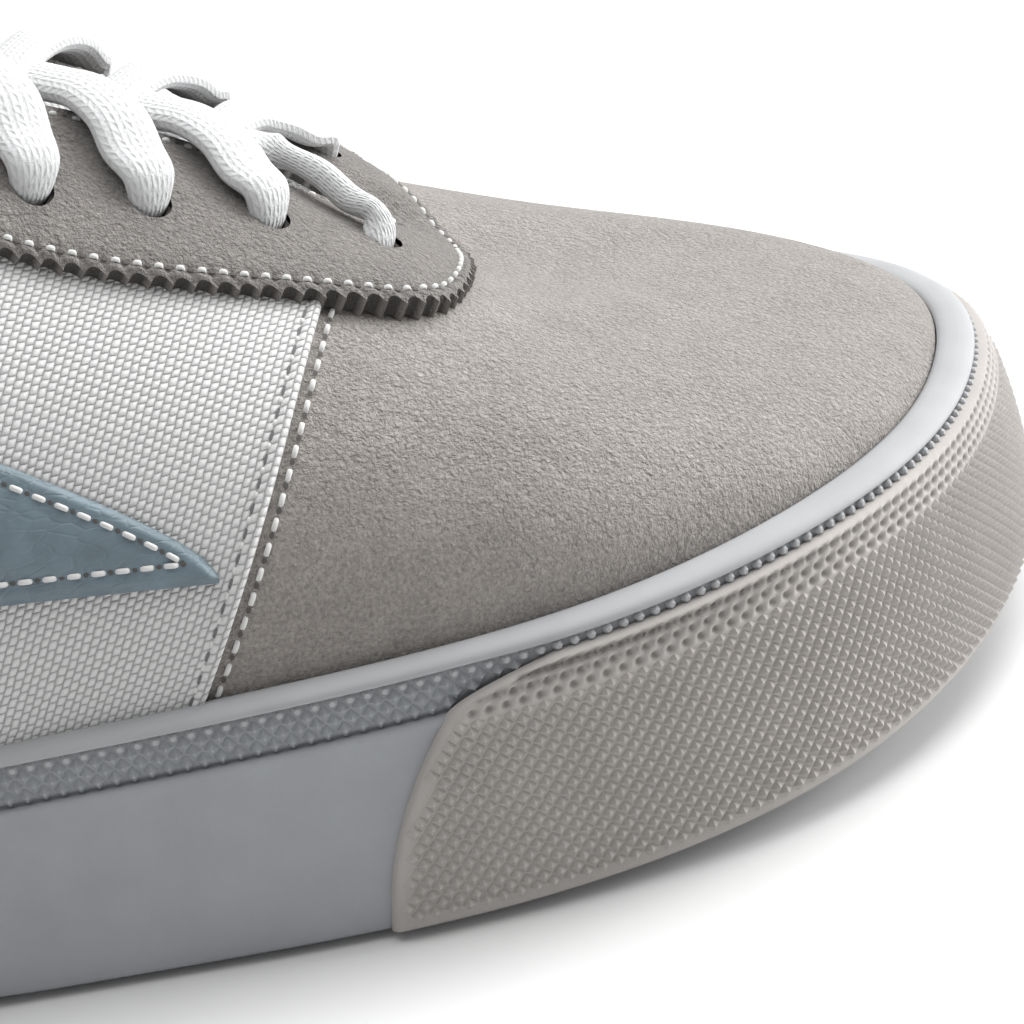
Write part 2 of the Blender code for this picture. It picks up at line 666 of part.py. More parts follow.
def make_eyelet_cutter(group):
    """Pins for all the eyelet holes."""
    shape = bmesh.new()
    for side in (INNER, OUTER):
        for index in range(EYELET_COUNT):
            point, normal = eyelet_place(side, index)
            before = set(shape.verts)
            bmesh.ops.create_cone(shape, cap_ends=True, segments=EYELET_SIDES, radius1=EYELET_RADIUS,
                                  radius2=EYELET_RADIUS, depth=4 * (SUEDE + WALL + CANVAS))
            pin = [vert for vert in shape.verts if vert not in before]
            turn = Vector((0, 0, 1)).rotation_difference(Vector(normal)).to_matrix()
            bmesh.ops.rotate(shape, cent=(0, 0, 0), matrix=turn, verts=pin)
            bmesh.ops.translate(shape, vec=Vector(point), verts=pin)
    mesh = bpy.data.meshes.new("eyelet_pins")
    shape.to_mesh(mesh)
    shape.free()
    pins = bpy.data.objects.new("eyelet_pins", mesh)
    pins.hide_render = True
    pins.display_type = "WIRE"
    group.objects.link(pins)
    return pins


def cut(item, tool):
    """Boolean difference kept on the object."""
    step = item.modifiers.new("eyelets", "BOOLEAN")
    step.operation = "DIFFERENCE"
    step.solver = "EXACT"
    step.object = tool


def tongue_row(inner_share, outer_share, depth):
    """Cross-section under both throat edges and over the gap between them."""
    runs = []
    for share in (inner_share, outer_share):
        distance = throat_distance(share)
        taper = throat_distance(TOP_INNER) - TONGUE_TAPER_FROM
        toward_top = smooth_step((distance - TONGUE_TAPER_FROM) / taper)
        reach = TONGUE_UNDER_EDGE + (TONGUE_TOP_UNDER_EDGE - TONGUE_UNDER_EDGE) * toward_top
        low = rise_below_top(share, min(reach, THROAT_SHARE_UNDER * distance))
        rises = np.linspace(low, 1.0, 4)
        runs.append(upper(share, rises, -(wall_thickness(share, rises) + TONGUE_CLEARANCE + depth)))
    middle = (runs[0][-1] + runs[1][-1]) / 2
    middle[2] += TONGUE_CROWN * abs(runs[0][-1][1] - runs[1][-1][1])
    return np.concatenate([runs[0], [middle], runs[1][::-1]])


def make_tongue(material, group):
    """Padded tongue under the throat, standing above its top."""
    distances = np.linspace(TONGUE_FOOT, throat_distance(TOP_INNER), TONGUE_ROWS)
    loops = []
    for distance in distances:
        inner_share = share_along_throat(INNER, distance)
        outer_share = share_along_throat(OUTER, distance)
        outside = tongue_row(inner_share, outer_share, 0.0)
        inside = tongue_row(inner_share, outer_share, TONGUE_THICKNESS)
        loops.append(np.concatenate([outside, inside[::-1]]))
    way = loops[-1] - loops[-2]
    way = way.mean(axis=0) / np.linalg.norm(way.mean(axis=0))
    for rise, width in TONGUE_TOP:
        loop = loops[len(distances) - 1] + way * TONGUE_RISE * rise
        loop[:, 1] *= width
        loops.append(loop)
    return add_band("tongue", loops, 9, material, group)


def make_insole(material, group):
    """Insole lying on the footbed inside the upper's margin."""
    shares = ring_shares()
    inset = FOXING_WALL + GAP + WALL + GAP
    plan = side_point(shares, inset, 1.0)
    under = plan.copy()
    under[:, 2] = footbed(plan[:, 0]) + GAP
    over = under + [0, 0, INSOLE_THICKNESS]
    rings = [toward_spine(under, step, footbed) for step in reversed(TOWARD_SPINE)] + [under, over]
    rings += [toward_spine(over, step, footbed) for step in TOWARD_SPINE]
    faces = bridge(rings, False)
    total = len(rings) * RING_POINTS
    faces += ring_cap(0) + ring_cap(total - RING_POINTS)
    return add_mesh("insole", np.concatenate(rings), faces, material, group)


def lace_strap(name, start_side, index, onward, material, group):
    """Flat lace from one eyelet over the throat to the other side."""
    first, first_up = eyelet_place(start_side, index)
    last, last_up = eyelet_place(-start_side, index + onward)
    lift = LACE_CLEARANCE + LACE_THICKNESS / 2
    upright = np.array([0, 0, 1.0])
    edges = [
        upper(share_along_throat(side, EYELET_FIRST + at * EYELET_PITCH), EYESTAY_TOP_RISE,
              SKIN_GAP + SUEDE + lift)
        for side, at in ((start_side, index), (-start_side, index + onward))
    ]
    middle = sum(edges) / 2 + upright * (LACE_CROWN + LACE_THICKNESS / 4 * start_side)
    halves = []
    for point, up, edge in ((first, first_up, edges[0]), (last, last_up, edges[1])):
        start = point + up * lift
        lying = (start + edge) / 2 + up * LACE_CLEARANCE
        bending = edge + (middle - edge) * LACE_BEND + upright * LACE_CROWN / 2
        halves.append([(start, up), (lying, up), (bending, (up + upright) / 2)])
    stations = halves[0] + [(middle, upright)] + halves[1][::-1]
    knots = [knot for knot, up in stations]
    loops = []
    for k, (knot, up) in enumerate(stations):
        way = knots[min(k + 1, len(knots) - 1)] - knots[max(k - 1, 0)]
        way = way / np.linalg.norm(way)
        flat = np.cross(way, up)
        flat /= np.linalg.norm(flat)
        high = np.cross(flat, way)
        half = LACE_WIDTH / 2
        rise = high * LACE_THICKNESS / 2
        loops.append(np.array([knot - flat * half + rise, knot + flat * half + rise,
                               knot + flat * half - rise, knot - flat * half - rise]))
    return add_band(name, loops, 2, material, group)


def make_laces(material, group, tools):
    """Criss-cross laces joined where they cross."""
    body = lace_strap("laces", INNER, 0, 0, material, group)
    for index in range(EYELET_COUNT - 1):
        for side in (INNER, OUTER):
            strap = lace_strap(f"lace_{index}_{side}", side, index, 1, None, tools)
            strap.hide_render = True
            strap.display_type = "WIRE"
            join = body.modifiers.new(strap.name, "BOOLEAN")
            join.operation = "UNION"
            join.solver = "EXACT"
            join.object = strap
    return body


def main():
    """Build the shoe."""
    clear_scene()
    shoe = make_collection("skate_shoe")
    tools = make_collection("cutters")
    white_rubber = make_material("white_rubber", (0.52, 0.54, 0.56), 0.55)
    taupe_rubber = make_material("taupe_rubber", (0.35, 0.32, 0.30), 0.6)
    gum_rubber = make_material("outsole_rubber", (0.5, 0.5, 0.5), 0.7)
    taupe_suede = make_material("taupe_suede", (0.33, 0.30, 0.28), 0.9)
    lining = make_material("vamp_suede", (0.36, 0.33, 0.31), 0.9)
    canvas = make_material("canvas", (0.62, 0.62, 0.61), 0.9)
    blue_leather = make_material("blue_leather", (0.12, 0.16, 0.19), 0.5)
    lace_cotton = make_material("lace_cotton", (0.85, 0.85, 0.85), 0.8)
    foam = make_material("insole_foam", (0.3, 0.3, 0.3), 0.8)
    make_outsole(gum_rubber, shoe)
    make_midsole(white_rubber, shoe)
    make_toe_bumper(taupe_rubber, shoe)
    shell = make_upper(lining, shoe)
    make_quarter("quarter_inner", INNER, canvas, shoe)
    make_quarter("quarter_outer", OUTER, canvas, shoe)
    eyestay = make_eyestay(taupe_suede, shoe)
    make_heel_counter(taupe_suede, shoe)
    make_side_patch("side_patch_inner", INNER, blue_leather, shoe)
    make_side_patch("side_patch_outer", OUTER, blue_leather, shoe)
    pins = make_eyelet_cutter(tools)
    cut(shell, pins)
    cut(eyestay, pins)
    make_tongue(canvas, shoe)
    make_insole(foam, shoe)
    make_laces(lace_cotton, shoe, tools)


main()
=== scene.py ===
import math

import bpy
import numpy as np
from mathutils import Matrix, Vector


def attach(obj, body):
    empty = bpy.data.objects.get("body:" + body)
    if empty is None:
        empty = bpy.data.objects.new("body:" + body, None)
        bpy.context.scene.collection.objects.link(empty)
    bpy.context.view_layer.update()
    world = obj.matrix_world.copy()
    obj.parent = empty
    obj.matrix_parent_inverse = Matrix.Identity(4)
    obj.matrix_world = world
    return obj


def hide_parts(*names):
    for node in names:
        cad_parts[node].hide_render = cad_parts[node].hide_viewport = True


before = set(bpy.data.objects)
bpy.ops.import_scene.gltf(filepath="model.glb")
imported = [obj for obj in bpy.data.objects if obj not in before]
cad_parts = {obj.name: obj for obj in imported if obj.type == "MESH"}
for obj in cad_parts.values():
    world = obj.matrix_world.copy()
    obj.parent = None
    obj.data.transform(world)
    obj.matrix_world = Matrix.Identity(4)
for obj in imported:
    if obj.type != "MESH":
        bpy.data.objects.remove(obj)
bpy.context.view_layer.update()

bl_info = {
    "name": "Skateboarding shoe",
    "version": (1, 0, 0),
    "blender": (4, 5, 0),
    "location": "3D View > Sidebar > Shoe",
    "description": "Gives the packed model of a low skateboarding shoe its finished look",
    "category": "Add Mesh",
}

MM = 0.001
BODY = "root"

# Overall sizes
LENGTH = 296.0 * MM
BALL_WIDTH = 110.0 * MM
INSTEP_HEIGHT = 103.0 * MM
GAP = 0.3 * MM

# Sole
FOXING_HEIGHT = 28.2 * MM
TOE_BATTER = 4.4 * MM
TOE_SPRING = 9.0 * MM
HEEL_SPRING = 1.5 * MM
ARCH_RISE = 1.5 * MM
FOXING_WALL = 3.4 * MM
FOOTBED_HEIGHT = 10.0 * MM
OUTSOLE_INSET = 3.4 * MM
BAND_DEPTH = 0.9 * MM
BAND_HEIGHT = 6.0 * MM
BAND_FILL = 0.75
BEAD_ROW = 21
BEAD_HEIGHT = 1.2 * MM
SPRING_FROM = 0.66
HEEL_EDGE = 0.05
ARCH_MIDDLE = 0.44
ARCH_HALF = 0.13
DOT_PITCH = 1.8 * MM
DOT_HEIGHT = 0.7 * MM
BAND_ROWS = 4
TREAD_PITCH = 7.0 * MM

# Toe bumper
BUMPER_THICKNESS = 1.2 * MM
BUMPER_TOP_BELOW_FOXING = 2.0 * MM
BUMPER_REACH = 94.5 * MM
BUMPER_SWEEP = 13.0 * MM
CORNER_REACH = 9.0 * MM
CORNER_DROP = 3.5 * MM
BUMPER_SWEEP_POWER = 2.0
LATTICE_PITCH = 1.8 * MM
LATTICE_ROW = 0.9 * MM
LATTICE_HEIGHT = 0.62 * MM
TOP_ROWS = 3
TOP_ROW = 1.2 * MM
BUMPER_MARGIN = 1.3 * MM

# Upper and what is sewn on it
WALL = 2.0 * MM
COLLAR_PAD = 5.0 * MM
CANVAS = 0.9 * MM
SUEDE = 1.5 * MM
LEATHER = 1.4 * MM
SEAM_FOOT_FROM_TOE = 109.0 * MM
SEAM_LEAN = 36.0 * MM
THROAT_BAND = 28.0 * MM
THROAT_BAND_TAPER = 0.15
THROAT_FRONT_BAND = 10.0 * MM
NOTCH_PITCH = 2.3 * MM
NOTCH_DEPTH = 1.0 * MM
COUNTER_HALF_LENGTH = 44.0 * MM
COUNTER_HEIGHT = 36.0 * MM
COUNTER_DROP = 0.55
PATCH_LENGTH = 80.0 * MM
PATCH_HEIGHT = 16.0 * MM
PATCH_FRONT_FROM_TOE = 105.0 * MM
PATCH_TIP_HEIGHT = 12.2 * MM
PATCH_SLOPE = 0.13
PATCH_TAPER = 0.5
PATCH_TIP_RADIUS = 0.75 * MM

# Lacing and stitches
EYELET_COUNT = 6
EYELET_PITCH = 12.0 * MM
EYELET_FIRST = 20.5 * MM
EYELET_FROM_EDGE = 14.0 * MM
EYELET_RADIUS = 2.2 * MM
LACE_WIDTH = 7.2 * MM
LACE_THICKNESS = 2.9 * MM
STITCH_RADIUS = 0.24 * MM
SEAM_PITCH = 2.6 * MM
PATCH_STITCH_INSET = 2.0 * MM

# Tongue and insole
TONGUE_THICKNESS = 5.0 * MM
TONGUE_UNDER_EDGE = 15.0 * MM
TONGUE_TOP_UNDER_EDGE = 6.0 * MM
THROAT_SHARE_UNDER = 0.85
TONGUE_RISE = 30.0 * MM
TONGUE_TAPER_FROM = 45.0 * MM
TONGUE_TOP = ((0.12, 0.84), (0.3, 0.72), (0.5, 0.86), (0.8, 1.12), (1.0, 1.02))
TONGUE_CROWN = 0.12
TONGUE_FRONT = 2.0 * MM

# Sections round the shoe, from the back of the heel along the inner side to the toe and back.
# along and across are shares of LENGTH and BALL_WIDTH, side is a share of FOXING_HEIGHT, batter of
# TOE_BATTER and top_height of INSTEP_HEIGHT, angles are in degrees, pulls are shares of each
# section's chord, pad is a share of COLLAR_PAD.
COLUMNS = ("along", "across", "side", "batter", "top_along", "top_across", "top_height",
           "lean", "foot_pull", "slope", "top_pull", "pad")
SECTIONS = (
    (0.000,  0.000, 1.09, 0.0, 0.0300,  0.005, 0.755,   5, 0.40, 86, 0.40, 1.0),
    (0.018, -0.165, 1.08, 0.0, 0.0500, -0.108, 0.725,   5, 0.40, 84, 0.40, 1.0),
    (0.070, -0.278, 1.06, 0.0, 0.1080, -0.178, 0.665,   5, 0.40, 82, 0.38, 1.0),
    (0.160, -0.338, 1.03, 0.0, 0.1900, -0.216, 0.620,   5, 0.38, 80, 0.36, 1.0),
    (0.280, -0.350, 1.00, 0.0, 0.2850, -0.212, 0.655,   5, 0.36, 74, 0.34, 1.0),
    (0.400, -0.365, 0.99, 0.0, 0.3900, -0.165, 0.835,   6, 0.36, 58, 0.32, 0.8),
    (0.510, -0.392, 1.00, 0.0, 0.5090, -0.120, 0.970,   6, 0.36, 46, 0.30, 0.2),
    (0.600, -0.438, 1.03, 0.0, 0.5840, -0.092, 0.865,   5, 0.36, 43, 0.30, 0.0),
    (0.690, -0.482, 1.07, 0.0, 0.6450, -0.076, 0.768,   4, 0.33, 43, 0.30, 0.0),
    (0.775, -0.496, 1.12, 0.0, 0.6890, -0.066, 0.692,   2, 0.27, 41, 0.30, 0.0),
    (0.859, -0.456, 1.16, 0.4, 0.7260, -0.060, 0.610,  -4, 0.19, 38, 0.29, 0.0),
    (0.931, -0.338, 1.14, 0.8, 0.7470, -0.048, 0.560, -10, 0.15, 38, 0.27, 0.0),
    (0.980, -0.170, 1.11, 1.0, 0.7570, -0.026, 0.532, -14, 0.13, 36, 0.25, 0.0),
    (1.000,  0.010, 1.10, 1.0, 0.7600,  0.000, 0.524, -16, 0.13, 35, 0.25, 0.0),
    (0.990,  0.130, 1.10, 1.0, 0.7570,  0.026, 0.532, -14, 0.13, 36, 0.25, 0.0),
    (0.955,  0.235, 1.12, 0.8, 0.7470,  0.048, 0.560, -10, 0.15, 38, 0.27, 0.0),
    (0.900,  0.342, 1.14, 0.4, 0.7260,  0.060, 0.610,  -6, 0.15, 39, 0.29, 0.0),
    (0.830,  0.428, 1.13, 0.0, 0.6890,  0.066, 0.692,   0, 0.20, 41, 0.30, 0.0),
    (0.745,  0.482, 1.09, 0.0, 0.6450,  0.076, 0.768,   3, 0.28, 43, 0.30, 0.0),
    (0.655,  0.496, 1.05, 0.0, 0.5840,  0.092, 0.865,   5, 0.33, 44, 0.30, 0.0),
    (0.550,  0.464, 1.01, 0.0, 0.5090,  0.120, 0.970,   6, 0.36, 46, 0.30, 0.2),
    (0.430,  0.412, 0.99, 0.0, 0.3900,  0.172, 0.835,   6, 0.36, 58, 0.32, 0.8),
    (0.300,  0.372, 1.00, 0.0, 0.2850,  0.222, 0.645,   5, 0.36, 74, 0.34, 1.0),
    (0.170,  0.345, 1.03, 0.0, 0.1900,  0.224, 0.610,   5, 0.38, 80, 0.36, 1.0),
    (0.072,  0.285, 1.06, 0.0, 0.1080,  0.186, 0.660,   5, 0.40, 82, 0.38, 1.0),
    (0.018,  0.168, 1.08, 0.0, 0.0500,  0.114, 0.725,   5, 0.40, 84, 0.40, 1.0),
)
INNER, OUTER = -1, 1
TOE_SECTION = 13
TOP_INNER_SECTION = 6
TOP_OUTER_SECTION = 20


def periodic_spline(rows):
    """Cubic spline through the rows and back to the first, read at shares of the way round."""
    step = np.linalg.norm(np.diff(rows[:, :2], axis=0, append=rows[:1, :2]), axis=1)
    knots = np.concatenate([[0.0], np.cumsum(step)])
    count = len(rows)
    matrix = np.zeros((count, count))
    turn = np.zeros_like(rows)
    for i in range(count):
        before, after = step[i - 1], step[i]
        onward = (i + 1) % count
        matrix[i, i - 1] += before
        matrix[i, i] += 2 * (before + after)
        matrix[i, onward] += after
        turn[i] = 6 * ((rows[onward] - rows[i]) / after - (rows[i] - rows[i - 1]) / before)
    bend = np.linalg.solve(matrix, turn)

    def read(share):
        way = np.mod(np.asarray(share, float), 1.0) * knots[-1]
        i = np.clip(np.searchsorted(knots, way, side="right") - 1, 0, count - 1)
        j = (i + 1) % count
        h = step[i][..., None]
        a = (knots[i + 1] - way)[..., None] / h
        b = 1 - a
        curved = (a ** 3 - a) * bend[i] + (b ** 3 - b) * bend[j]
        return a * rows[i] + b * rows[j] + curved * h * h / 6

    return read, knots / knots[-1]


def section_sizes():
    """The table of sections in metres and radians, with the middle of the length at x = 0."""
    rows = np.array(SECTIONS, float)
    column = {name: index for index, name in enumerate(COLUMNS)}
    body = LENGTH - BUMPER_THICKNESS - GAP
    for name, size in (("along", body), ("top_along", body), ("across", BALL_WIDTH), ("top_across", BALL_WIDTH),
                       ("side", FOXING_HEIGHT), ("batter", TOE_BATTER), ("top_height", INSTEP_HEIGHT),
                       ("lean", math.radians(1)), ("slope", math.radians(1)), ("pad", COLLAR_PAD)):
        rows[:, column[name]] *= size
    rows[:, [column["along"], column["top_along"]]] -= LENGTH / 2
    return rows


FORM, KNOTS = periodic_spline(section_sizes())
TOE = KNOTS[TOE_SECTION]
TOP_INNER = KNOTS[TOP_INNER_SECTION]
TOP_OUTER = KNOTS[TOP_OUTER_SECTION]


def section(share, name):
    """One column of the form at a share of the way round."""
    return FORM(share)[..., COLUMNS.index(name)]


def toe_lift(x):
    """Rise of the sole towards the toe."""
    share = x / LENGTH + 0.5
    return TOE_SPRING * np.clip((share - SPRING_FROM) / (1 - SPRING_FROM), 0, None) ** 2


def ground(x):
    """Height of the outsole's underside."""
    share = x / LENGTH + 0.5
    heel = np.clip((HEEL_EDGE - share) / HEEL_EDGE, 0, None)
    arch = np.clip(1 - ((share - ARCH_MIDDLE) / ARCH_HALF) ** 2, 0, None)
    return toe_lift(x) + HEEL_SPRING * heel ** 2 + ARCH_RISE * arch ** 2


def footbed(x):
    """Height of the floor inside the sole's wall."""
    return FOOTBED_HEIGHT + toe_lift(x)


def outline(share, inset=0.0):
    """Point of the sole's outline in plan, moved inwards by inset."""
    reach = 1e-3
    way = FORM(np.asarray(share) + reach)[..., :2] - FORM(np.asarray(share) - reach)[..., :2]
    way /= np.linalg.norm(way, axis=-1)[..., None]
    inward = np.stack([-way[..., 1], way[..., 0]], -1)
    return FORM(share)[..., :2] + inward * np.asarray(inset)[..., None]


def side_point(share, inset, height):
    """Point of the sole's side: height 0 is the ground and 1 the foxing's top."""
    share, inset, height = np.broadcast_arrays(np.asarray(share, float), inset, height)
    lean = section(share, "batter") * np.clip(height, 0, 1) ** 2
    plan = outline(share, inset + lean)
    floor = ground(plan[..., 0])
    top = section(share, "side")
    return np.concatenate([plan, (floor + (top - floor) * height)[..., None]], -1)


def side_height(share):
    """Height of the foxing above the ground under it."""
    return section(share, "side") - ground(outline(share)[..., 0])


def upper_face(share, rise):
    """Outer face of the upper: rise 0 at the foxing's top, 1 at the topline, -1 at the footbed."""
    share, rise = np.broadcast_arrays(np.asarray(share, float), np.asarray(rise, float))
    foot = side_point(share, FOXING_WALL + GAP, 1.0)
    top = np.stack([section(share, name) for name in ("top_along", "top_across", "top_height")], -1)
    flat = top[..., :2] - foot[..., :2]
    reach = np.linalg.norm(flat, axis=-1)
    inward = flat / reach[..., None]
    chord = np.hypot(reach, top[..., 2] - foot[..., 2])
    lean, slope = section(share, "lean"), section(share, "slope")
    low_pull = section(share, "foot_pull") * chord
    high_pull = section(share, "top_pull") * chord

    def handle(start, along, up):
        return start + np.concatenate([inward * along[..., None], up[..., None]], -1)

    low = handle(foot, -np.sin(lean) * low_pull, np.cos(lean) * low_pull)
    high = handle(top, -np.cos(slope) * high_pull, -np.sin(slope) * high_pull)
    t = np.clip(rise, 0, 1)[..., None]
    point = ((1 - t) ** 3 * foot + 3 * (1 - t) ** 2 * t * low
             + 3 * (1 - t) * t ** 2 * high + t ** 3 * top)
    margin = np.clip(-rise, 0, None)
    bed = footbed(point[..., 0]) + GAP
    point[..., 2] += margin * (bed - point[..., 2])
    return point


def upper_normal(share, rise):
    """Outward direction of the upper's face."""
    across, along = 2e-4, 1e-3
    rise = np.clip(rise, 0, 1)
    round_way = upper_face(share + across, rise) - upper_face(share - across, rise)
    up_way = (upper_face(share, np.minimum(rise + along, 1))
              - upper_face(share, np.maximum(rise - along, 0)))
    normal = np.cross(round_way, up_way)
    return normal / np.linalg.norm(normal, axis=-1)[..., None]


def upper(share, rise, offset=0.0):
    """Point at a distance outside the upper's face."""
    share, rise = np.broadcast_arrays(np.asarray(share, float), np.asarray(rise, float))
    return upper_face(share, rise) + upper_normal(share, rise) * np.asarray(offset)[..., None]


def run_length(path):
    """Distance along a path of points from its start."""
    return np.concatenate([[0], np.cumsum(np.linalg.norm(np.diff(path, axis=0), axis=1))])


def down_length(grid):
    """Distance down each column of a grid of points from its first row."""
    return np.cumsum(np.linalg.norm(np.diff(grid, axis=0, prepend=grid[:1]), axis=-1), axis=0)


def share_at(side, x, rise=0.0):
    """Share of the way round where the upper's face at this rise passes x on one side."""
    shares = np.linspace(0.0 if side == INNER else 1.0, TOE, 321)
    return np.interp(x, upper_face(shares, rise)[:, 0], shares)


def rise_below_top(share, distance):
    """Rise of the point that lies a distance below the topline along the upper's face."""
    rises = np.linspace(1, 0, 101)
    return np.interp(distance, run_length(upper_face(share, rises)), rises)


def rises_below(shares, distances):
    """Rises at distances below the topline, one for each share."""
    return np.array([rise_below_top(s, d) for s, d in zip(shares, np.broadcast_to(distances, len(shares)))])


def rise_above_foxing(share, distance):
    """Rise of the point that lies a distance above the foxing along the upper's face."""
    rises = np.linspace(0, 1, 101)
    return np.interp(distance, run_length(upper_face(share, rises)), rises)


THROAT_SHARES = np.linspace(TOP_INNER, TOP_OUTER, 1201)
THROAT_WAY = run_length(upper_face(THROAT_SHARES, 1.0))
THROAT_WAY -= np.interp(TOE, THROAT_SHARES, THROAT_WAY)


def throat_distance(share):
    """Distance along the throat's edge from its front end."""
    return np.abs(np.interp(share, THROAT_SHARES, THROAT_WAY))


def share_along_throat(side, distance):
    """Share of the way round at a distance from the throat's front end along its edge."""
    return np.interp(side * distance, THROAT_WAY, THROAT_SHARES)


def smooth_step(value):
    """Soft change from 0 to 1."""
    value = np.clip(value, 0, 1)
    return value * value * (3 - 2 * value)


def rounded(value):
    """Change from 0 to 1 along a quarter circle."""
    return np.sqrt(np.clip(1 - (1 - np.clip(value, 0, 1)) ** 2, 0, 1))


def ridge(distance, middle, reach):
    """Soft ridge of height 1 round the middle, in millimetres."""
    return np.exp(-((distance - middle * MM) / (reach * MM)) ** 2)


def seam_share(side, rise):
    """Share of the way round of the canvas side's front edge at a rise."""
    return share_at(side, LENGTH / 2 - SEAM_FOOT_FROM_TOE + SEAM_LEAN * rise, rise)


def band_width(share):
    """Width of the eyestay: narrow round the throat's front end."""
    distance = throat_distance(share)
    along = smooth_step(distance / THROAT_BAND)
    taper = THROAT_BAND_TAPER * np.clip(distance - THROAT_BAND, 0, None)
    return THROAT_FRONT_BAND + (THROAT_BAND - THROAT_FRONT_BAND) * along - taper


def wall_thickness(share, rise):
    """Wall of the upper, padded round the collar."""
    pad = np.clip(section(share, "pad"), 0, None)
    growth = smooth_step((rise - 0.45) / 0.35)
    loss = 0.45 * smooth_step((rise - 0.85) / 0.15)
    return WALL + pad * growth * (1 - loss)


def grid_faces(rows, columns, wrap_rows=False, wrap_columns=False, flip=False):
    """Quads of a grid of points, row by row."""
    row = np.arange(rows if wrap_rows else rows - 1)
    column = np.arange(columns if wrap_columns else columns - 1)
    r, c = np.meshgrid(row, column, indexing="ij")
    r2, c2 = (r + 1) % rows, (c + 1) % columns
    quads = np.stack([r * columns + c, r * columns + c2, r2 * columns + c2, r2 * columns + c], -1)
    quads = quads.reshape(-1, 4)
    return quads[:, ::-1] if flip else quads


def add_piece(name, points, faces, materials, uv=None, slots=None, node=(), sharp=None, body=BODY):
    """Object on the model's body, from points and faces, with its map in millimetres."""
    mesh = bpy.data.meshes.new(name)
    mesh.from_pydata(np.asarray(points).tolist(), [], [list(face) for face in np.asarray(faces).tolist()]
                     if isinstance(faces, np.ndarray) else faces)
    for material in materials:
        mesh.materials.append(material)
    if uv is not None:
        layer = mesh.uv_layers.new(name="map")
        corner = np.empty(len(mesh.loops), int)
        mesh.loops.foreach_get("vertex_index", corner)
        layer.data.foreach_set("uv", (np.asarray(uv)[corner] / MM).ravel())
    if slots is not None:
        mesh.polygons.foreach_set("material_index", np.asarray(slots, int))
    mesh.shade_smooth()
    if sharp is not None:
        mesh.set_sharp_from_angle(angle=math.radians(sharp))
    item = bpy.data.objects.new(name, mesh)
    bpy.context.scene.collection.objects.link(item)
    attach(item, body)
    if node:
        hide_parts(*node)
    return item


def copies(points, faces, places):
    """One template of points and faces set down at many places, each a 3x4 matrix."""
    faces = np.asarray(faces)
    moved = np.einsum("nij,kj->nki", places[:, :, :3], points) + places[:, None, :, 3]
    shifts = np.arange(len(places))[:, None, None] * len(points)
    return moved.reshape(-1, 3), (faces[None] + shifts).reshape(-1, faces.shape[1])


def frames(points, along, normals, scale=1.0):
    """3x4 matrices at points with x along, z outwards."""
    z = normals / np.linalg.norm(normals, axis=-1)[:, None]
    x = along - (along * z).sum(-1)[:, None] * z
    x /= np.linalg.norm(x, axis=-1)[:, None]
    y = np.cross(z, x)
    scale = np.broadcast_to(np.asarray(scale, float), (len(points), 3))
    turn = np.stack([x * scale[:, :1], y * scale[:, 1:2], z * scale[:, 2:]], -1)
    return np.concatenate([turn, points[:, :, None]], -1)


def along_path(path, way, at):
    """Points of a path at distances along it."""
    return np.stack([np.interp(at, way, path[:, k]) for k in range(3)], -1)


def stitch_row(path, normals, pitch, length, radius=STITCH_RADIUS, start=0.5):
    """Places of stitches along a path, evenly spaced."""
    way = run_length(path)
    at = np.arange(start * pitch, way[-1], pitch)
    ahead = along_path(path, way, at + radius) - along_path(path, way, at - radius)
    out = along_path(normals, way, at)
    return frames(along_path(path, way, at), ahead, out, (length / 2, radius * 1.15, radius))


def thread_template(sides=8, rings=9):
    """A thread's visible length of half length 1 and radius 1, arched, its ends bent down."""
    t = np.linspace(-1, 1, rings)
    arch = 0.55 - 2.1 * np.abs(t) ** 3
    fat = np.sqrt(np.clip(1 - np.abs(t) ** 6, 0.15, 1))
    turn = np.arange(sides) / sides * 2 * math.pi
    points = [[t[i], math.cos(a) * fat[i], math.sin(a) * fat[i] + arch[i]]
              for i in range(rings) for a in turn]
    return np.array(points), grid_faces(rings, sides, wrap_columns=True, flip=True)


def hole_template(sides=8):
    """A needle hole: a shallow dark dimple seen from above."""
    turn = np.arange(sides) / sides * 2 * math.pi
    rim = [[math.cos(a), math.sin(a), 0.0] for a in turn]
    return np.array([[0.0, 0.0, 0.25]] + rim), np.array([[0, 1 + k, 1 + (k + 1) % sides] for k in range(sides)])


# Materials

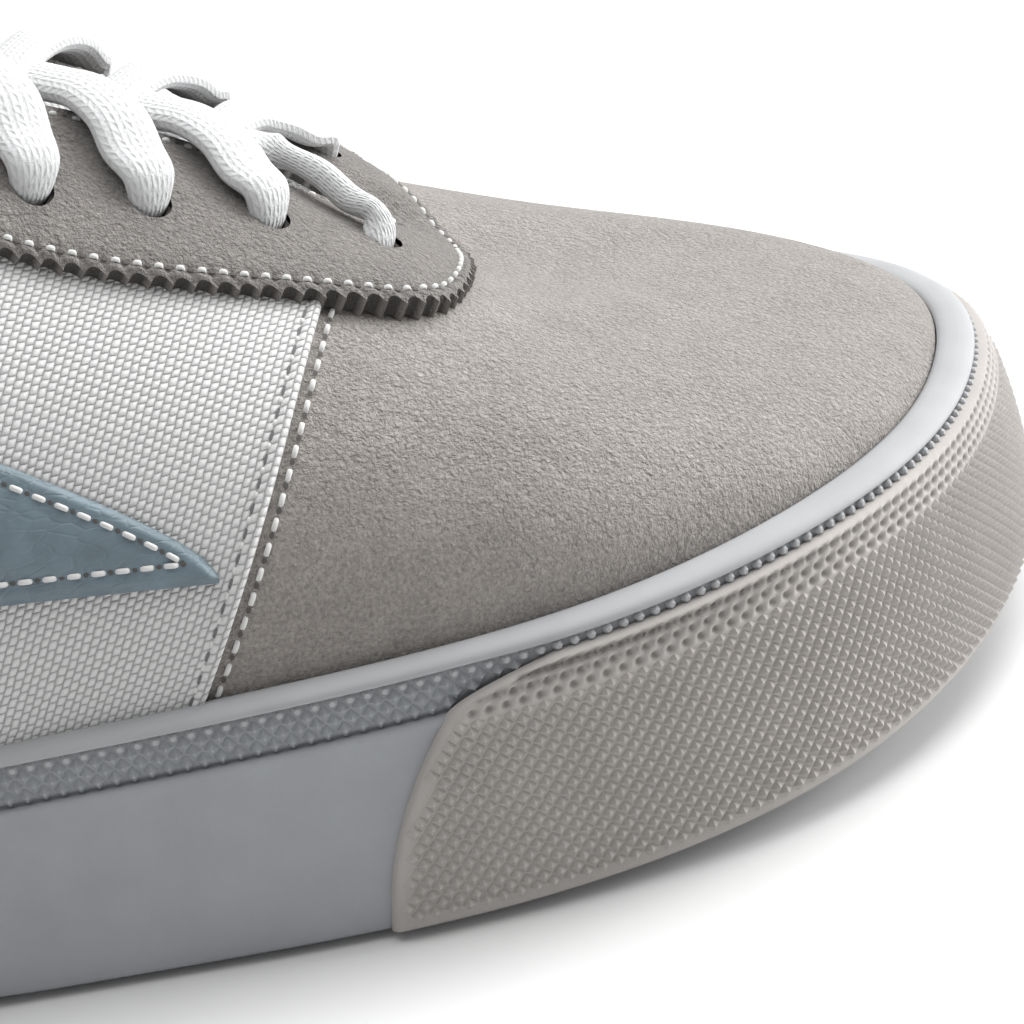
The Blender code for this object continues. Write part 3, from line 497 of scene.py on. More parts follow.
class Look:
    """A finish: its material, and the kinds of node that the finishes are made of."""

    def __init__(self, name, color, roughness, settings=()):
        self.material = bpy.data.materials.new(name)
        self.material.use_nodes = True
        self.nodes, self.links = self.material.node_tree.nodes, self.material.node_tree.links
        self.color = color
        self.surface = self.nodes["Principled BSDF"].inputs
        self.surface["Base Color"].default_value = (*color, 1.0)
        self.surface["Roughness"].default_value = roughness
        for label, value in dict(settings).items():
            self.surface[label].default_value = value

    def node(self, kind, sockets, output=0, **options):
        """One output of a new node, with its sockets set to values or linked."""
        node = self.nodes.new("ShaderNode" + kind)
        for option, value in options.items():
            setattr(node, option, value)
        for key, value in sockets.items():
            if isinstance(value, bpy.types.NodeSocket):
                self.links.new(value, node.inputs[key])
            else:
                node.inputs[key].default_value = value
        return node.outputs[output]

    def math(self, operation, *values):
        """One step of arithmetic on sockets or numbers."""
        return self.node("Math", dict(enumerate(values)), operation=operation)

    def add(self, first, second, share):
        """The first and a share of the second."""
        return self.math("ADD", first, self.math("MULTIPLY", second, share))

    def place(self):
        """Object coordinates."""
        return self.node("TexCoord", {}, "Object")

    def map(self):
        """The map's two distances in millimetres."""
        return self.node("SeparateXYZ", {0: self.node("UVMap", {}, uv_map="map")}).node.outputs[:2]

    def noise(self, scale, detail, roughness, distortion=0.0):
        """Noise on object coordinates."""
        return self.node("TexNoise", {"Vector": self.place(), "Scale": scale, "Detail": detail,
                                      "Roughness": roughness, "Distortion": distortion}, "Fac")

    def ramp(self, value, low, high):
        """0 up to low and 1 from high on."""
        return self.node("MapRange", {"Value": value, "From Min": low, "From Max": high}, "Result")

    def paint(self, fac, low, high=1.0):
        """Base colour between two shares of the finish's own."""
        low, high = ((*(min(1.0, c * share) for c in self.color), 1.0) for share in (low, high))
        mixed = self.node("Mix", {0: fac, 6: low, 7: high}, 2, data_type="RGBA")
        self.links.new(mixed, self.surface["Base Color"])

    def relief(self, height, depth):
        """Bump of a depth in millimetres."""
        bumped = self.node("Bump", {"Height": height, "Distance": depth * MM}, "Normal")
        self.links.new(bumped, self.surface["Normal"])


def suede_material(name, color):
    """Napped suede: pebbled fibres with cloudy light and dark patches."""
    look = Look(name, color, 0.95, {"Sheen Weight": 0.25, "Sheen Roughness": 0.6, "Specular IOR Level": 0.1})
    cloud, speck = look.noise(160, 4, 0.6), look.noise(2300, 3, 0.6)
    look.paint(look.ramp(look.add(look.math("MULTIPLY", cloud, 0.25), speck, 0.75), 0.36, 0.64), 0.74, 1.22)
    look.relief(look.add(look.noise(1900, 3, 0.65, 0.3), look.noise(700, 2, 0.5), 0.5), 1.1)
    return look.material


def pinked_material(name, color):
    """Pinked cut edge of suede: light at the points, dark and fuzzy in the hollows."""
    look = Look(name, color, 0.95)
    phase = look.math("FRACT", look.math("DIVIDE", look.map()[0], NOTCH_PITCH / MM))
    hollow = look.math("ABSOLUTE", look.math("SUBTRACT", phase, 0.5))
    fuzz = look.noise(2600, 3, 0.7)
    # Painted shade and light: colour down to 0.3 of the suede's in the hollows, up to 1.1 at the points
    look.paint(look.ramp(look.add(hollow, fuzz, 0.16), 0.36, 0.54), 0.3, 1.1)
    look.relief(fuzz, 0.6)
    return look.material


def canvas_material(name, color, pitches=(0.85, 1.02)):
    """Plain weave of round grains, each column half a grain past the one before."""
    look = Look(name, color, 0.9, {"Specular IOR Level": 0.15, "Sheen Weight": 0.1})
    shift = look.math("MULTIPLY", look.math("SUBTRACT", look.noise(700, 2, 0.5), 0.5), 0.3)
    across, along = [look.math("ADD", way, shift) for way in look.map()]
    column = look.math("FLOOR", look.math("DIVIDE", across, pitches[0]))
    along = look.add(along, column, pitches[1] / 2)
    waves = [look.math("SINE", look.math("MULTIPLY", way, math.pi / pitch))
             for way, pitch in zip((across, along), pitches)]
    over = look.ramp(look.math("MULTIPLY", *waves), -0.15, 0.15)
    threads = [look.math("ABSOLUTE", wave) for wave in waves]
    top = look.node("Mix", {0: over, 2: threads[0], 3: threads[1]})
    grain = look.math("POWER", look.math("MULTIPLY", *threads), 0.5)
    height = look.add(look.math("MULTIPLY", grain, 0.88), top, 0.12)
    look.relief(look.add(height, look.noise(4200, 2, 0.6), 0.25), 0.26)
    # Painted shade: colour down to 0.62 of the canvas's where the weave lies low between the grains
    look.paint(look.ramp(height, 0.15, 0.75), 0.62)
    return look.material


def rubber_material(name, color, roughness, pit_scale=900.0, pit_depth=0.06):
    """Matt moulded rubber with fine pits."""
    look = Look(name, color, roughness, {"Specular IOR Level": 0.35})
    broad = look.noise(130, 2, 0.5)
    look.relief(look.add(look.noise(pit_scale, 3, 0.55), broad, 0.8), pit_depth)
    look.paint(look.ramp(broad, 0.3, 0.7), 0.95, 1.03)
    return look.material


def leather_material(name, color):
    """Smooth leather with fine wrinkles."""
    look = Look(name, color, 0.48)
    bent = look.node("VectorMath", {0: look.place(), 1: (0.45, 1.0, 1.0)}, operation="MULTIPLY")
    edges = look.node("TexVoronoi", {"Vector": bent, "Scale": 900}, "Distance", feature="DISTANCE_TO_EDGE")
    cells = look.math("MULTIPLY", look.ramp(edges, 0.0, 0.12), 0.5)
    soft = look.noise(260, 3, 0.55)
    look.relief(look.math("ADD", cells, soft), 0.09)
    look.paint(look.ramp(soft, 0.3, 0.7), 0.85, 1.15)
    return look.material


def lace_material(name, color):
    """Knitted lace: short slanting stitches in rows."""
    look = Look(name, color, 0.85, {"Specular IOR Level": 0.15, "Subsurface Weight": 0.1,
                                    "Subsurface Radius": (0.002, 0.002, 0.002), "Subsurface Scale": 0.5})
    along, across = look.map()
    ridge = look.math("ABSOLUTE", look.math("SINE", look.math("MULTIPLY", across, math.pi / 0.8)))
    row = look.math("ADD", along, look.math("PINGPONG", across, 0.8))
    knit = look.math("ABSOLUTE", look.math("SINE", look.math("MULTIPLY", row, math.pi / 1.1)))
    height = look.add(look.math("MULTIPLY", ridge, 0.7), knit, 0.6)
    look.relief(look.add(height, look.noise(2600, 3, 0.6), 1.6), 0.14)
    # Painted shade: colour down to 0.92 of the lace's where the knit lies low
    look.paint(look.ramp(height, 0.2, 1.0), 0.92)
    return look.material


MATERIALS = {}


def make_materials():
    """Every finish, once."""
    if MATERIALS:
        return MATERIALS
    looks = bpy.context.scene.shoe_look

    def shade(name, share=1.0, more=0.0):
        return tuple(c * share + more for c in getattr(looks, name + "_color"))

    MATERIALS.update({
        "vamp": suede_material("vamp_suede_look", shade("suede")),
        "eyestay": suede_material("eyestay_suede_look", shade("eyestay")),
        "suede_edge": suede_material("suede_cut_edge", shade("eyestay", 0.62)),
        "canvas": canvas_material("canvas_look", shade("canvas")),
        "lining": canvas_material("lining_look", (0.55, 0.56, 0.57), (1.1, 1.1)),
        "insole": canvas_material("insole_look", (0.25, 0.26, 0.27), (0.9, 0.9)),
        "white": rubber_material("wall_rubber_look", shade("rubber"), 0.65, 800.0, 0.12),
        "bead": rubber_material("bead_rubber_look", shade("rubber", 0.5, 0.22), 0.65, 600.0, 0.02),
        "taupe": rubber_material("bumper_rubber_look", shade("bumper"), 0.6, 1500.0, 0.05),
        "sole": rubber_material("outsole_rubber_look", (0.52, 0.52, 0.51), 0.65),
        "leather": leather_material("blue_leather_look", shade("patch")),
        "pinked_edge": pinked_material("pinked_edge_look", shade("eyestay")),
        "lace": lace_material("lace_look", shade("lace")),
        "leather_edge": Look("leather_cut_edge", shade("patch", 0.3), 0.6).material,
        "thread": Look("thread_look", (0.66, 0.66, 0.65), 0.8).material,
        # Needle holes: near-black marks, painted shade standing for the shade inside the holes
        "hole": Look("needle_hole_look", (0.09, 0.085, 0.08), 0.9).material,
        # Slits: dark grey marks, painted shade standing for the shade in the seam's dimples
        "slit": Look("slit_look", (0.16, 0.16, 0.16), 0.9).material,
        # Eyelets: the eyestay's colour at 0.4, painted shade in and round the holes
        "eyelet": Look("eyelet_look", shade("eyestay", 0.4), 0.9).material,
    })
    return MATERIALS


# Pieces of the sole

def ring_piece(name, rings, materials, uv=None, slots=None, node=(), wrap=True, sharp=None):
    """Closed rings round the shoe, mapped in plan where no map is given."""
    points = np.concatenate(rings)
    faces = grid_faces(len(rings), len(rings[0]), wrap_rows=wrap)
    add_piece(name, points, faces, materials, points[:, :2] if uv is None else uv, slots, node, sharp)


def ring_map(rings, way):
    """Map of rings: the way round, and the mean distance from the first ring."""
    steps = [np.linalg.norm(high - low, axis=1).mean() for low, high in zip(rings, rings[1:])]
    return np.concatenate([np.column_stack([way, np.full(len(way), lift)]) for lift in np.cumsum([0.0] + steps)])


def filled(edge, steps, height):
    """Rings that close a plan towards its middle line, each at a lift over a height."""
    end = BALL_WIDTH / 3
    spine = np.clip(edge[:, 0], edge[:, 0].min() + end, edge[:, 0].max() - end)
    rings = []
    for lift, share in steps:
        x = edge[:, 0] + (spine - edge[:, 0]) * share
        rings.append(np.column_stack([x, edge[:, 1] * (1 - share), height(x) + lift * MM]))
    return rings


def side_ahead(share, inset, height):
    """Direction round the sole's side."""
    return side_point(share + 1e-4, inset, height) - side_point(share - 1e-4, inset, height)


def pyramid(foot, tip, height):
    """Points of a blunt four-sided pyramid of half width 1."""
    ring = np.array([[-1, 0, 0], [0, -1, 0], [1, 0, 0], [0, 1, 0]], float)
    return np.concatenate([ring + [0, 0, foot], ring * tip + [0, 0, height]])


PYRAMID_SIDES = np.array([[0, 1, 5, 4], [1, 2, 6, 5], [2, 3, 7, 6], [3, 0, 4, 7], [4, 5, 6, 7]])


def over_bumper(shares):
    """1 where the bumper covers the wall's upper part, 0 elsewhere, with a soft change."""
    x = outline(shares)[..., 0]
    return smooth_step((x - (LENGTH / 2 - BUMPER_REACH + BUMPER_SWEEP * 0.7)) / (14 * MM))


def make_sole_wall():
    """Foxing wall: lower wall with a lip, step in to the band, and the bead rolled round the top."""
    looks = make_materials()
    shares = np.linspace(0, 1, 721)
    side, covered = side_height(shares), over_bumper(shares)
    ledge, rim, mm = 1 - BAND_HEIGHT / side, 1 - BEAD_HEIGHT / side, MM / side
    deep, out = BAND_DEPTH * (1 - BAND_FILL * covered), 0.5 * MM * covered
    profile = [
        (OUTSOLE_INSET - GAP, 3.8 * mm), (OUTSOLE_INSET - GAP, 0.9 * mm), (1.2 * MM, 0.9 * mm),
        (0.55 * MM, 1.1 * mm), (0.18 * MM, 1.7 * mm), (0.03 * MM, 2.6 * mm), (0.0, 4.0 * mm),
        (0.0, 0.35), (0.0, 0.6), (-0.02 * MM, ledge - 2.0 * mm), (-0.16 * MM, ledge - 1.2 * mm),
        (-0.28 * MM, ledge - 0.7 * mm), (-0.22 * MM, ledge - 0.25 * mm), (0.0, ledge - 0.05 * mm),
        (0.3 * MM, ledge), (deep + 0.25 * MM, ledge - 0.15 * mm), (deep + 0.2 * MM, ledge + 0.2 * mm),
        (deep, ledge + 0.45 * mm), (deep, (ledge + rim) / 2), (deep, rim - 0.3 * mm),
        (deep + 0.25 * MM, rim - 0.1 * mm), (deep + 0.1 * MM, rim + 0.05 * mm),
        (0.3 * MM - out, rim + 0.12 * mm), (0.12 * MM - out, rim + 0.3 * mm),
        (0.14 * MM - out, rim + 0.62 * mm), (0.35 * MM - out, rim + 0.95 * mm),
        (0.85 * MM - out, rim + 1.25 * mm), (1.5 * MM - out / 2, rim + 1.42 * mm),
        (2.3 * MM, rim + 1.48 * mm), (3.0 * MM, rim + 1.42 * mm), (3.5 * MM, rim + 1.2 * mm),
        (3.7 * MM, rim + 0.8 * mm), (FOXING_WALL + 0.5 * MM, 1.0 - 4.0 * mm),
        (FOXING_WALL + 0.5 * MM, 10.5 * mm),
    ]
    rings = [side_point(shares, inset, height) for inset, height in profile]
    slots = np.repeat([int(BEAD_ROW <= row < len(rings) - 1) for row in range(len(rings))], len(shares) - 1)
    ring_piece("foxing_wall", rings, [looks["white"], looks["bead"]],
               ring_map(rings, run_length(outline(shares))), slots, ("midsole",))


def make_footbed():
    """Floor inside the wall, under the insole."""
    edge = side_point(np.linspace(0, 1, 361), FOXING_WALL - 0.2 * MM, 0.3)
    steps = [(-0.2, share) for share in (0.0, 0.4, 0.8, 0.98)]
    ring_piece("footbed", filled(edge, steps, footbed), [make_materials()["white"]], wrap=False)


def make_band_dots():
    """Staggered rows of small raised points on the band, the top row going on over the bumper."""
    looks = make_materials()
    shares = np.linspace(0, 1, 4001)
    way = run_length(outline(shares))
    count = int(way[-1] / DOT_PITCH)
    rows = []
    for row in range(BAND_ROWS):
        share = np.interp((np.arange(count) + 0.5 * (row % 2)) / count * way[-1], way, shares)
        side = side_height(share)
        low, high = 1 - (BAND_HEIGHT - 0.3 * MM) / side, 1 - (BEAD_HEIGHT + 0.02 * MM) / side
        height = low + (high - low) * (0.55 + row) / BAND_ROWS
        deep = BAND_DEPTH * (1 - BAND_FILL * over_bumper(share))
        point = side_point(share, deep, height)
        out = np.cross(side_ahead(share, deep, height), side_point(share, deep, height + 0.01) - point)
        half = (high - low) * side / BAND_ROWS / 2
        last = row == BAND_ROWS - 1
        wide, tall, lift = (0.33, 1.05, 1.1) if last else (0.5, 1.9, 1.0)
        size = np.column_stack([np.full(count, DOT_PITCH * wide), half * tall, np.full(count, DOT_HEIGHT * lift)])
        keep = last | (point[:, 0] < bumper_back(height) - 0.6 * MM)
        rows.append(frames(point, side_ahead(share, deep, height), out, size)[keep])
    add_piece("band_points", *copies(pyramid(-0.1, 0.16, 0.9), PYRAMID_SIDES, np.concatenate(rows[:-1])),
              [looks["white"]], sharp=25)
    turn = np.arange(8) / 8 * 2 * math.pi
    dome = np.array([[math.cos(a) * r, math.sin(a) * r, z] for r, z in ((1, -0.1), (0.85, 0.55), (0.45, 0.9))
                     for a in turn])
    points, faces = copies(dome, grid_faces(3, 8, wrap_columns=True, flip=True), rows[-1])
    cap_points, caps = copies(dome[16:], np.arange(8)[None], rows[-1])
    add_piece("band_dots", np.concatenate([points, cap_points]),
              faces.tolist() + (caps + len(points)).tolist(), [looks["bead"]])


def bumper_back(height):
    """Distance along the shoe of the bumper's back edge at a height, with its top corner rounded off."""
    below = (1 - height) * FOXING_HEIGHT - BUMPER_TOP_BELOW_FOXING
    corner = CORNER_REACH * np.clip(1 - below / CORNER_DROP, 0, 1) ** 2
    return LENGTH / 2 - BUMPER_REACH + BUMPER_SWEEP * height ** BUMPER_SWEEP_POWER + corner


def bumper_span(height):
    """Shares of the way round where the bumper begins and ends at a height."""
    front = bumper_back(height)
    return share_at(INNER, front), share_at(OUTER, front)


def make_toe_bumper():
    """Bumper sheet with rounded edges, then the diamond lattice of pyramids standing on it."""
    taupe = [make_materials()["taupe"]]
    columns = 1301
    top = 1 - BUMPER_TOP_BELOW_FOXING / FOXING_HEIGHT
    tall = top * FOXING_HEIGHT / MM - 1.0
    drops = np.concatenate([[0.0, 0.04, 0.12, 0.25], np.arange(0.4, 4.6, 0.2), [5.5, 7, 9, 12, 15, 18, 20.5],
                            [tall - 0.7, tall - 0.25, tall - 0.06, tall]])[::-1] * MM
    rows = top - drops / FOXING_HEIGHT
    along = np.concatenate([[0.0, 0.001, 0.003], np.linspace(0.006, 0.994, columns), [0.997, 0.999, 1.0]])
    shares = np.array([a + (b - a) * along for a, b in map(bumper_span, rows)])
    round_rows = np.interp(drops / MM, [0, 0.04, 0.12, 0.25, 0.5, tall - 0.7, tall - 0.25, tall],
                           [0.0, 0.4, 0.7, 0.9, 1.0, 1.0, 0.85, 0.0])
    round_along = np.concatenate([[0.0, 0.65, 0.95], np.ones(columns), [0.95, 0.65, 0.0]])
    lift = BUMPER_THICKNESS * np.minimum(round_rows[:, None], round_along[None]) + 0.02 * MM
    wide = np.linspace(0.2, 0.8, 4001)
    way = run_length(side_point(wide, -BUMPER_THICKNESS, top))
    run = np.interp(shares, wide, way) - np.interp(TOE, wide, way)
    ends = np.minimum(run - run[:, :1], run[:, -1:] - run)
    drop = np.broadcast_to(drops[:, None], run.shape)
    raised = smooth_step(drop / (0.5 * MM)) * (1 - smooth_step((drop - 3.6 * MM) / (1.0 * MM)))
    raised = raised * smooth_step((ends - 0.8 * MM) / (1.2 * MM))
    pits = np.zeros(run.shape)
    for row in range(TOP_ROWS):
        phase = (run / DOT_PITCH + (row % 2) / 2) % 1.0 - 0.5
        pits += ridge(drop - TOP_ROW * row, 0.95, 0.40) * ridge(phase * DOT_PITCH, 0.0, 0.50)
    lift = lift + raised * (0.35 * MM - 0.85 * MM * pits)
    uv = np.stack([run, np.broadcast_to(rows[:, None] * FOXING_HEIGHT, run.shape)], -1)
    add_piece("toe_bumper_sheet", side_point(shares, -lift, rows[:, None]).reshape(-1, 3),
              grid_faces(len(rows), len(along)), taupe, uv.reshape(-1, 2), node=("toe_bumper",))
    start, end = bumper_span(top)
    shares = np.linspace(start - 0.1, end + 0.1, 4001)
    places = []
    for row, drop in enumerate(np.arange(0.95 * MM + TOP_ROWS * TOP_ROW, (tall - 1.2) * MM, LATTICE_ROW)):
        height = top - drop / FOXING_HEIGHT
        way = run_length(side_point(shares, -BUMPER_THICKNESS, height))
        way -= np.interp(TOE, shares, way)
        at = (np.arange(-120, 121) + (row % 2) / 2) * LATTICE_PITCH
        share = np.interp(at, way, shares)
        point = side_point(share, -BUMPER_THICKNESS, height)
        up = side_point(share, -BUMPER_THICKNESS, height + 0.02) - point
        ahead = side_ahead(share, -BUMPER_THICKNESS, height)
        start, end = np.interp(bumper_span(height), shares, way)
        margin = BUMPER_MARGIN * min(1.0, 0.4 + row / 8)
        size = (LATTICE_PITCH * 0.5, LATTICE_ROW, LATTICE_HEIGHT)
        places.append(frames(point, ahead, np.cross(ahead, up), size)[(at > start + margin) & (at < end - margin)])
    add_piece("bumper_lattice", *copies(pyramid(-0.06, 0.14, 0.95), PYRAMID_SIDES, np.concatenate(places)), taupe,
              sharp=25)


def make_outsole():
    """Tread sheet with small diamond blocks."""
    sole = [make_materials()["sole"]]
    shares = np.linspace(0, 1, 361)
    steps = ((3.6, 0.0), (1.0, 0.0), (1.0, 0.05), (1.0, 0.4), (1.0, 0.8), (1.0, 0.985))
    rings = filled(outline(shares, OUTSOLE_INSET), steps, ground)
    ring_piece("tread_sheet", rings[::-1], sole, node=("outsole",), wrap=False)
    rim = [side_point(shares, OUTSOLE_INSET + inset * MM, 0.0) + [0, 0, lift * MM]
           for inset, lift in ((2.5, 1.2), (2.5, 0.0), (0.0, 0.0), (0.0, 1.2))]
    ring_piece("tread_rim", rim, sole, wrap=False, sharp=40)
    border = outline(np.linspace(0, 1, 721), OUTSOLE_INSET + 5.5 * MM)
    places = []
    for k, x in enumerate(np.arange(-LENGTH / 2, LENGTH / 2, TREAD_PITCH / 2)):
        near = border[np.argsort(np.abs(border[:, 0] - x))[:8], 1]
        ys = np.arange(-60, 60, TREAD_PITCH / MM) * MM + (k % 2) * TREAD_PITCH / 2
        if border[:, 0].min() <= x <= border[:, 0].max():
            places += [[x, y, ground(x)] for y in ys if near.min() < y < near.max()]
    count = len(places)
    places = frames(np.array(places), np.tile([1.0, 0, 0], (count, 1)), np.tile([0, 0, 1.0], (count, 1)),
                    (TREAD_PITCH * 0.42, TREAD_PITCH * 0.42, MM))
    add_piece("tread_blocks", *copies(pyramid(1.1, 0.8, 0.0), PYRAMID_SIDES[:, ::-1], places), sole, sharp=30)


# Pieces of the upper


# Creases and dents of the upper in millimetres: place x, y, half sizes along and across, turn, height
CREASES = (
    (96.0, -14.0, 26.0, 5.0, 12.0, 0.35),
    (92.0, 16.0, 24.0, 5.0, -14.0, 0.30),
    (108.0, 4.0, 16.0, 10.0, 0.0, -0.35),
    (70.0, -38.0, 20.0, 4.0, 30.0, -0.25),
    (64.0, 40.0, 20.0, 4.0, -30.0, -0.25),
    (20.0, -34.0, 22.0, 6.0, 60.0, 0.4),
    (-20.0, -30.0, 20.0, 6.0, 75.0, -0.4),
    (-20.0, 32.0, 20.0, 6.0, -75.0, -0.4),
    (14.0, 34.0, 20.0, 6.0, -60.0, 0.4),
)


def surface(share, rise, offset=0.0):
    """Point over the upper's face with its creases."""
    share, rise = np.broadcast_arrays(np.asarray(share, float), np.asarray(rise, float))
    normals, base = upper_normal(share, rise), upper_face(share, rise)
    lift = np.zeros(base.shape[:-1])
    for x, y, reach_x, reach_y, turn, depth in CREASES:
        c, s = math.cos(math.radians(turn)), math.sin(math.radians(turn))
        dx, dy = base[..., 0] - x * MM, base[..., 1] - y * MM
        a, b = (dx * c + dy * s) / (reach_x * MM), (dy * c - dx * s) / (reach_y * MM)
        lift += depth * MM * np.exp(-a * a - b * b)
    return base + normals * lift[..., None] + normals * np.asarray(offset)[..., None]


def topline_step(shares):
    """Direction up the upper's face at the topline."""
    step = upper_face(shares, 1.0) - upper_face(shares, 0.98)
    return step / np.linalg.norm(step, axis=1)[:, None]


def make_shell():
    """Hollow upper: suede outside, a rolled topline, and the lining inside."""
    looks = make_materials()
    shares = np.linspace(0, 1, 481)
    edge, step = wall_thickness(shares, 1.0), topline_step(shares)
    rings = [surface(shares, rise, 0 * shares) for rise in np.concatenate([[-1.0], np.linspace(0, 1, 41)])]
    for turn in np.radians((30, 60, 90, 120, 150)):
        rings.append(surface(shares, 1.0, -edge / 2 * (1 - math.cos(turn)))
                     + step * (edge * 0.35 * math.sin(turn))[:, None])
    rings += [surface(shares, rise, -wall_thickness(shares, rise))
              for rise in np.concatenate([np.linspace(1, 0, 31)[1:], [-1.0]])]
    slots = np.repeat([int(row >= 40) for row in range(len(rings))], len(shares) - 1)
    points, faces, slots = punch(np.concatenate(rings), grid_faces(len(rings), len(shares), wrap_rows=True),
                                 slots, EYELET_RADIUS + 1.6 * MM, False)
    add_piece("upper_shell", points, faces, [looks["vamp"], looks["lining"]],
              ring_map(rings, run_length(outline(shares))), slots, ("upper",))


def panel(name, shares, rises, offsets, thickness, materials, node=(), uv=None, punched=False):
    """Sewn piece: outer grid at its offsets, and a rim of the second material down to the face below."""
    outer = surface(shares, rises, offsets)
    low = surface(shares, rises, offsets - thickness)
    rows, columns = shares.shape
    if uv is None:
        u = run_length(outer[rows // 2])
        v = np.cumsum(np.linalg.norm(np.diff(outer, axis=0, prepend=outer[:1]), axis=-1), axis=0)
        uv = np.stack([np.broadcast_to(u, v.shape), v], -1)
    grid = np.arange(rows * columns).reshape(rows, columns)
    index = np.concatenate([grid[0], grid[1:, -1], grid[-1, -2::-1], grid[-2:0:-1, 0]])
    points = np.concatenate([outer.reshape(-1, 3), outer.reshape(-1, 3)[index], low.reshape(-1, 3)[index]])
    top = grid_faces(rows, columns)
    base, count = rows * columns, len(index)
    here = np.arange(count)
    onward = (here + 1) % count
    rim = base + np.stack([here, count + here, count + onward, onward], -1)
    flat_uv = uv.reshape(-1, 2)
    uvs = np.concatenate([flat_uv, flat_uv[index], flat_uv[index] + [0.0, 1.0 * MM]])
    slots = np.repeat([0, 1], [len(top), len(rim)])
    flip = face_turn(outer, upper_normal(shares, rises))
    faces = np.concatenate([top, rim])
    if punched:
        points, faces, slots = punch(points, faces, slots, EYELET_RADIUS + 0.1 * MM, True)
    add_piece(name, points, faces[:, ::-1] if flip else faces, materials, uvs, slots, node)


def face_turn(grid, normals):
    """True where the grid's quads would face inwards."""
    r, c = grid.shape[0] // 2, grid.shape[1] // 2
    turn = np.cross(grid[r, c + 1] - grid[r, c], grid[r + 1, c] - grid[r, c])
    return float(turn @ normals[r, c]) < 0


def add_stitches(name, rows, hole_rows=(), look="hole"):
    """White thread stitches, and needle holes, at lists of places."""
    looks = make_materials()
    if len(rows):
        add_piece(name, *copies(*thread_template(), np.concatenate(rows)), [looks["thread"]])
    # Needle holes: small dark cones, painted shade standing for the holes
    if len(hole_rows):
        add_piece(name + "_holes", *copies(*hole_template(), np.concatenate(hole_rows)), [looks[look]])


def holes_along(path, normals, pitch, radius, start=0.0, narrow=0.8):
    """Places of needle holes along a path."""
    way = run_length(path)
    at = np.arange(start * pitch, way[-1], pitch)
    points, out = along_path(path, way, at), along_path(normals, way, at)
    return frames(points + out * 0.06 * MM, np.gradient(points, axis=0), out,
                  (radius, radius * narrow, 0.2 * MM))


def quarter_top_rise(share):
    """Rise of the canvas side's top edge: under the eyestay, and at the collar's binding."""
    drop = band_width(share) - 5.0 * MM if TOP_INNER < share < TOP_OUTER else 3.0 * MM
    return rise_below_top(share, drop)


def quarter_grid(side, columns=321, rows=61):
    """Shares and rises of the canvas side, from the heel to the front seam."""
    start = 0.0006 if side == INNER else 0.9994
    way = np.linspace(0, 1, 81)
    heights = np.array([quarter_top_rise(s) for s in start + (seam_share(side, 0.62) - start) * way])
    heights = np.convolve(np.pad(heights, 3, mode="edge"), np.ones(7) / 7, mode="valid")
    tall = np.linspace(-0.02, 1.0, 41)
    front_line = np.array([seam_share(side, rise) for rise in tall])
    u = 1 - (1 - np.linspace(0, 1, columns)) ** 1.25
    rises = (np.interp(u, way, heights)[None] + 0.01) * np.linspace(0, 1, rows)[:, None] - 0.01
    return start + (np.interp(rises, tall, front_line) - start) * u[None], rises


def edge_profile(distance, thickness):
    """Height of a folded and stitched edge at a distance inside it."""
    fold = 0.35 * MM * (1 - smooth_step((distance - 1.4 * MM) / (1.2 * MM)))
    return (thickness + fold) * rounded(distance / (0.6 * MM)) - 0.32 * MM * ridge(distance, 1.7, 0.35)


def make_quarter(side, name, node):
    """Canvas side with its front edge folded, lying over the vamp, and its stitches."""
    looks = make_materials()
    shares, rises = quarter_grid(side)
    base, normals = surface(shares, rises, 0.0), upper_normal(shares, rises)
    distance = np.array([run_length(row[::-1])[::-1] for row in base])
    offset = edge_profile(distance, CANVAS) + 0.1 * MM
    panel(name, shares, rises, offset, CANVAS + 0.25 * MM, [looks["canvas"]] * 2, (node,),
          uv=np.stack([distance, down_length(base)], -1))
    path, out = [], []
    columns = np.arange(distance.shape[1])
    for row in range(len(rises)):
        at = np.interp(1.7 * MM, distance[row][::-1], columns[::-1])
        low, share = int(at), at - int(at)
        high = min(low + 1, columns[-1])
        place = base[row, low] * (1 - share) + base[row, high] * share
        out.append(normals[row, low])
        path.append(place + out[-1] * (CANVAS + 0.12 * MM))
    path, out = np.array(path), np.array(out)
    # Dark slits along the fold: painted shade standing for the seam's dimples
    dimples = holes_along(path, out, SEAM_PITCH, 0.6 * MM, 0.5, 0.32)
    threads = stitch_row(path - out * 0.16 * MM, out, SEAM_PITCH, 1.0 * MM, 0.22 * MM, 1.0)
    edge = normals[:, -1]
    ahead = base[:, -1] - base[:, -2]
    ahead /= np.linalg.norm(ahead, axis=1)[:, None]
    outside = base[:, -1] + ahead * 1.2 * MM + edge * 0.12 * MM
    white = stitch_row(outside, edge, SEAM_PITCH, 1.6 * MM, 0.25 * MM, 0.45)
    add_stitches(name + "_stitches", [threads, white], [holes_along(outside, edge, SEAM_PITCH, 0.34 * MM)])
    add_stitches(name + "_slits", [], [dimples], "slit")


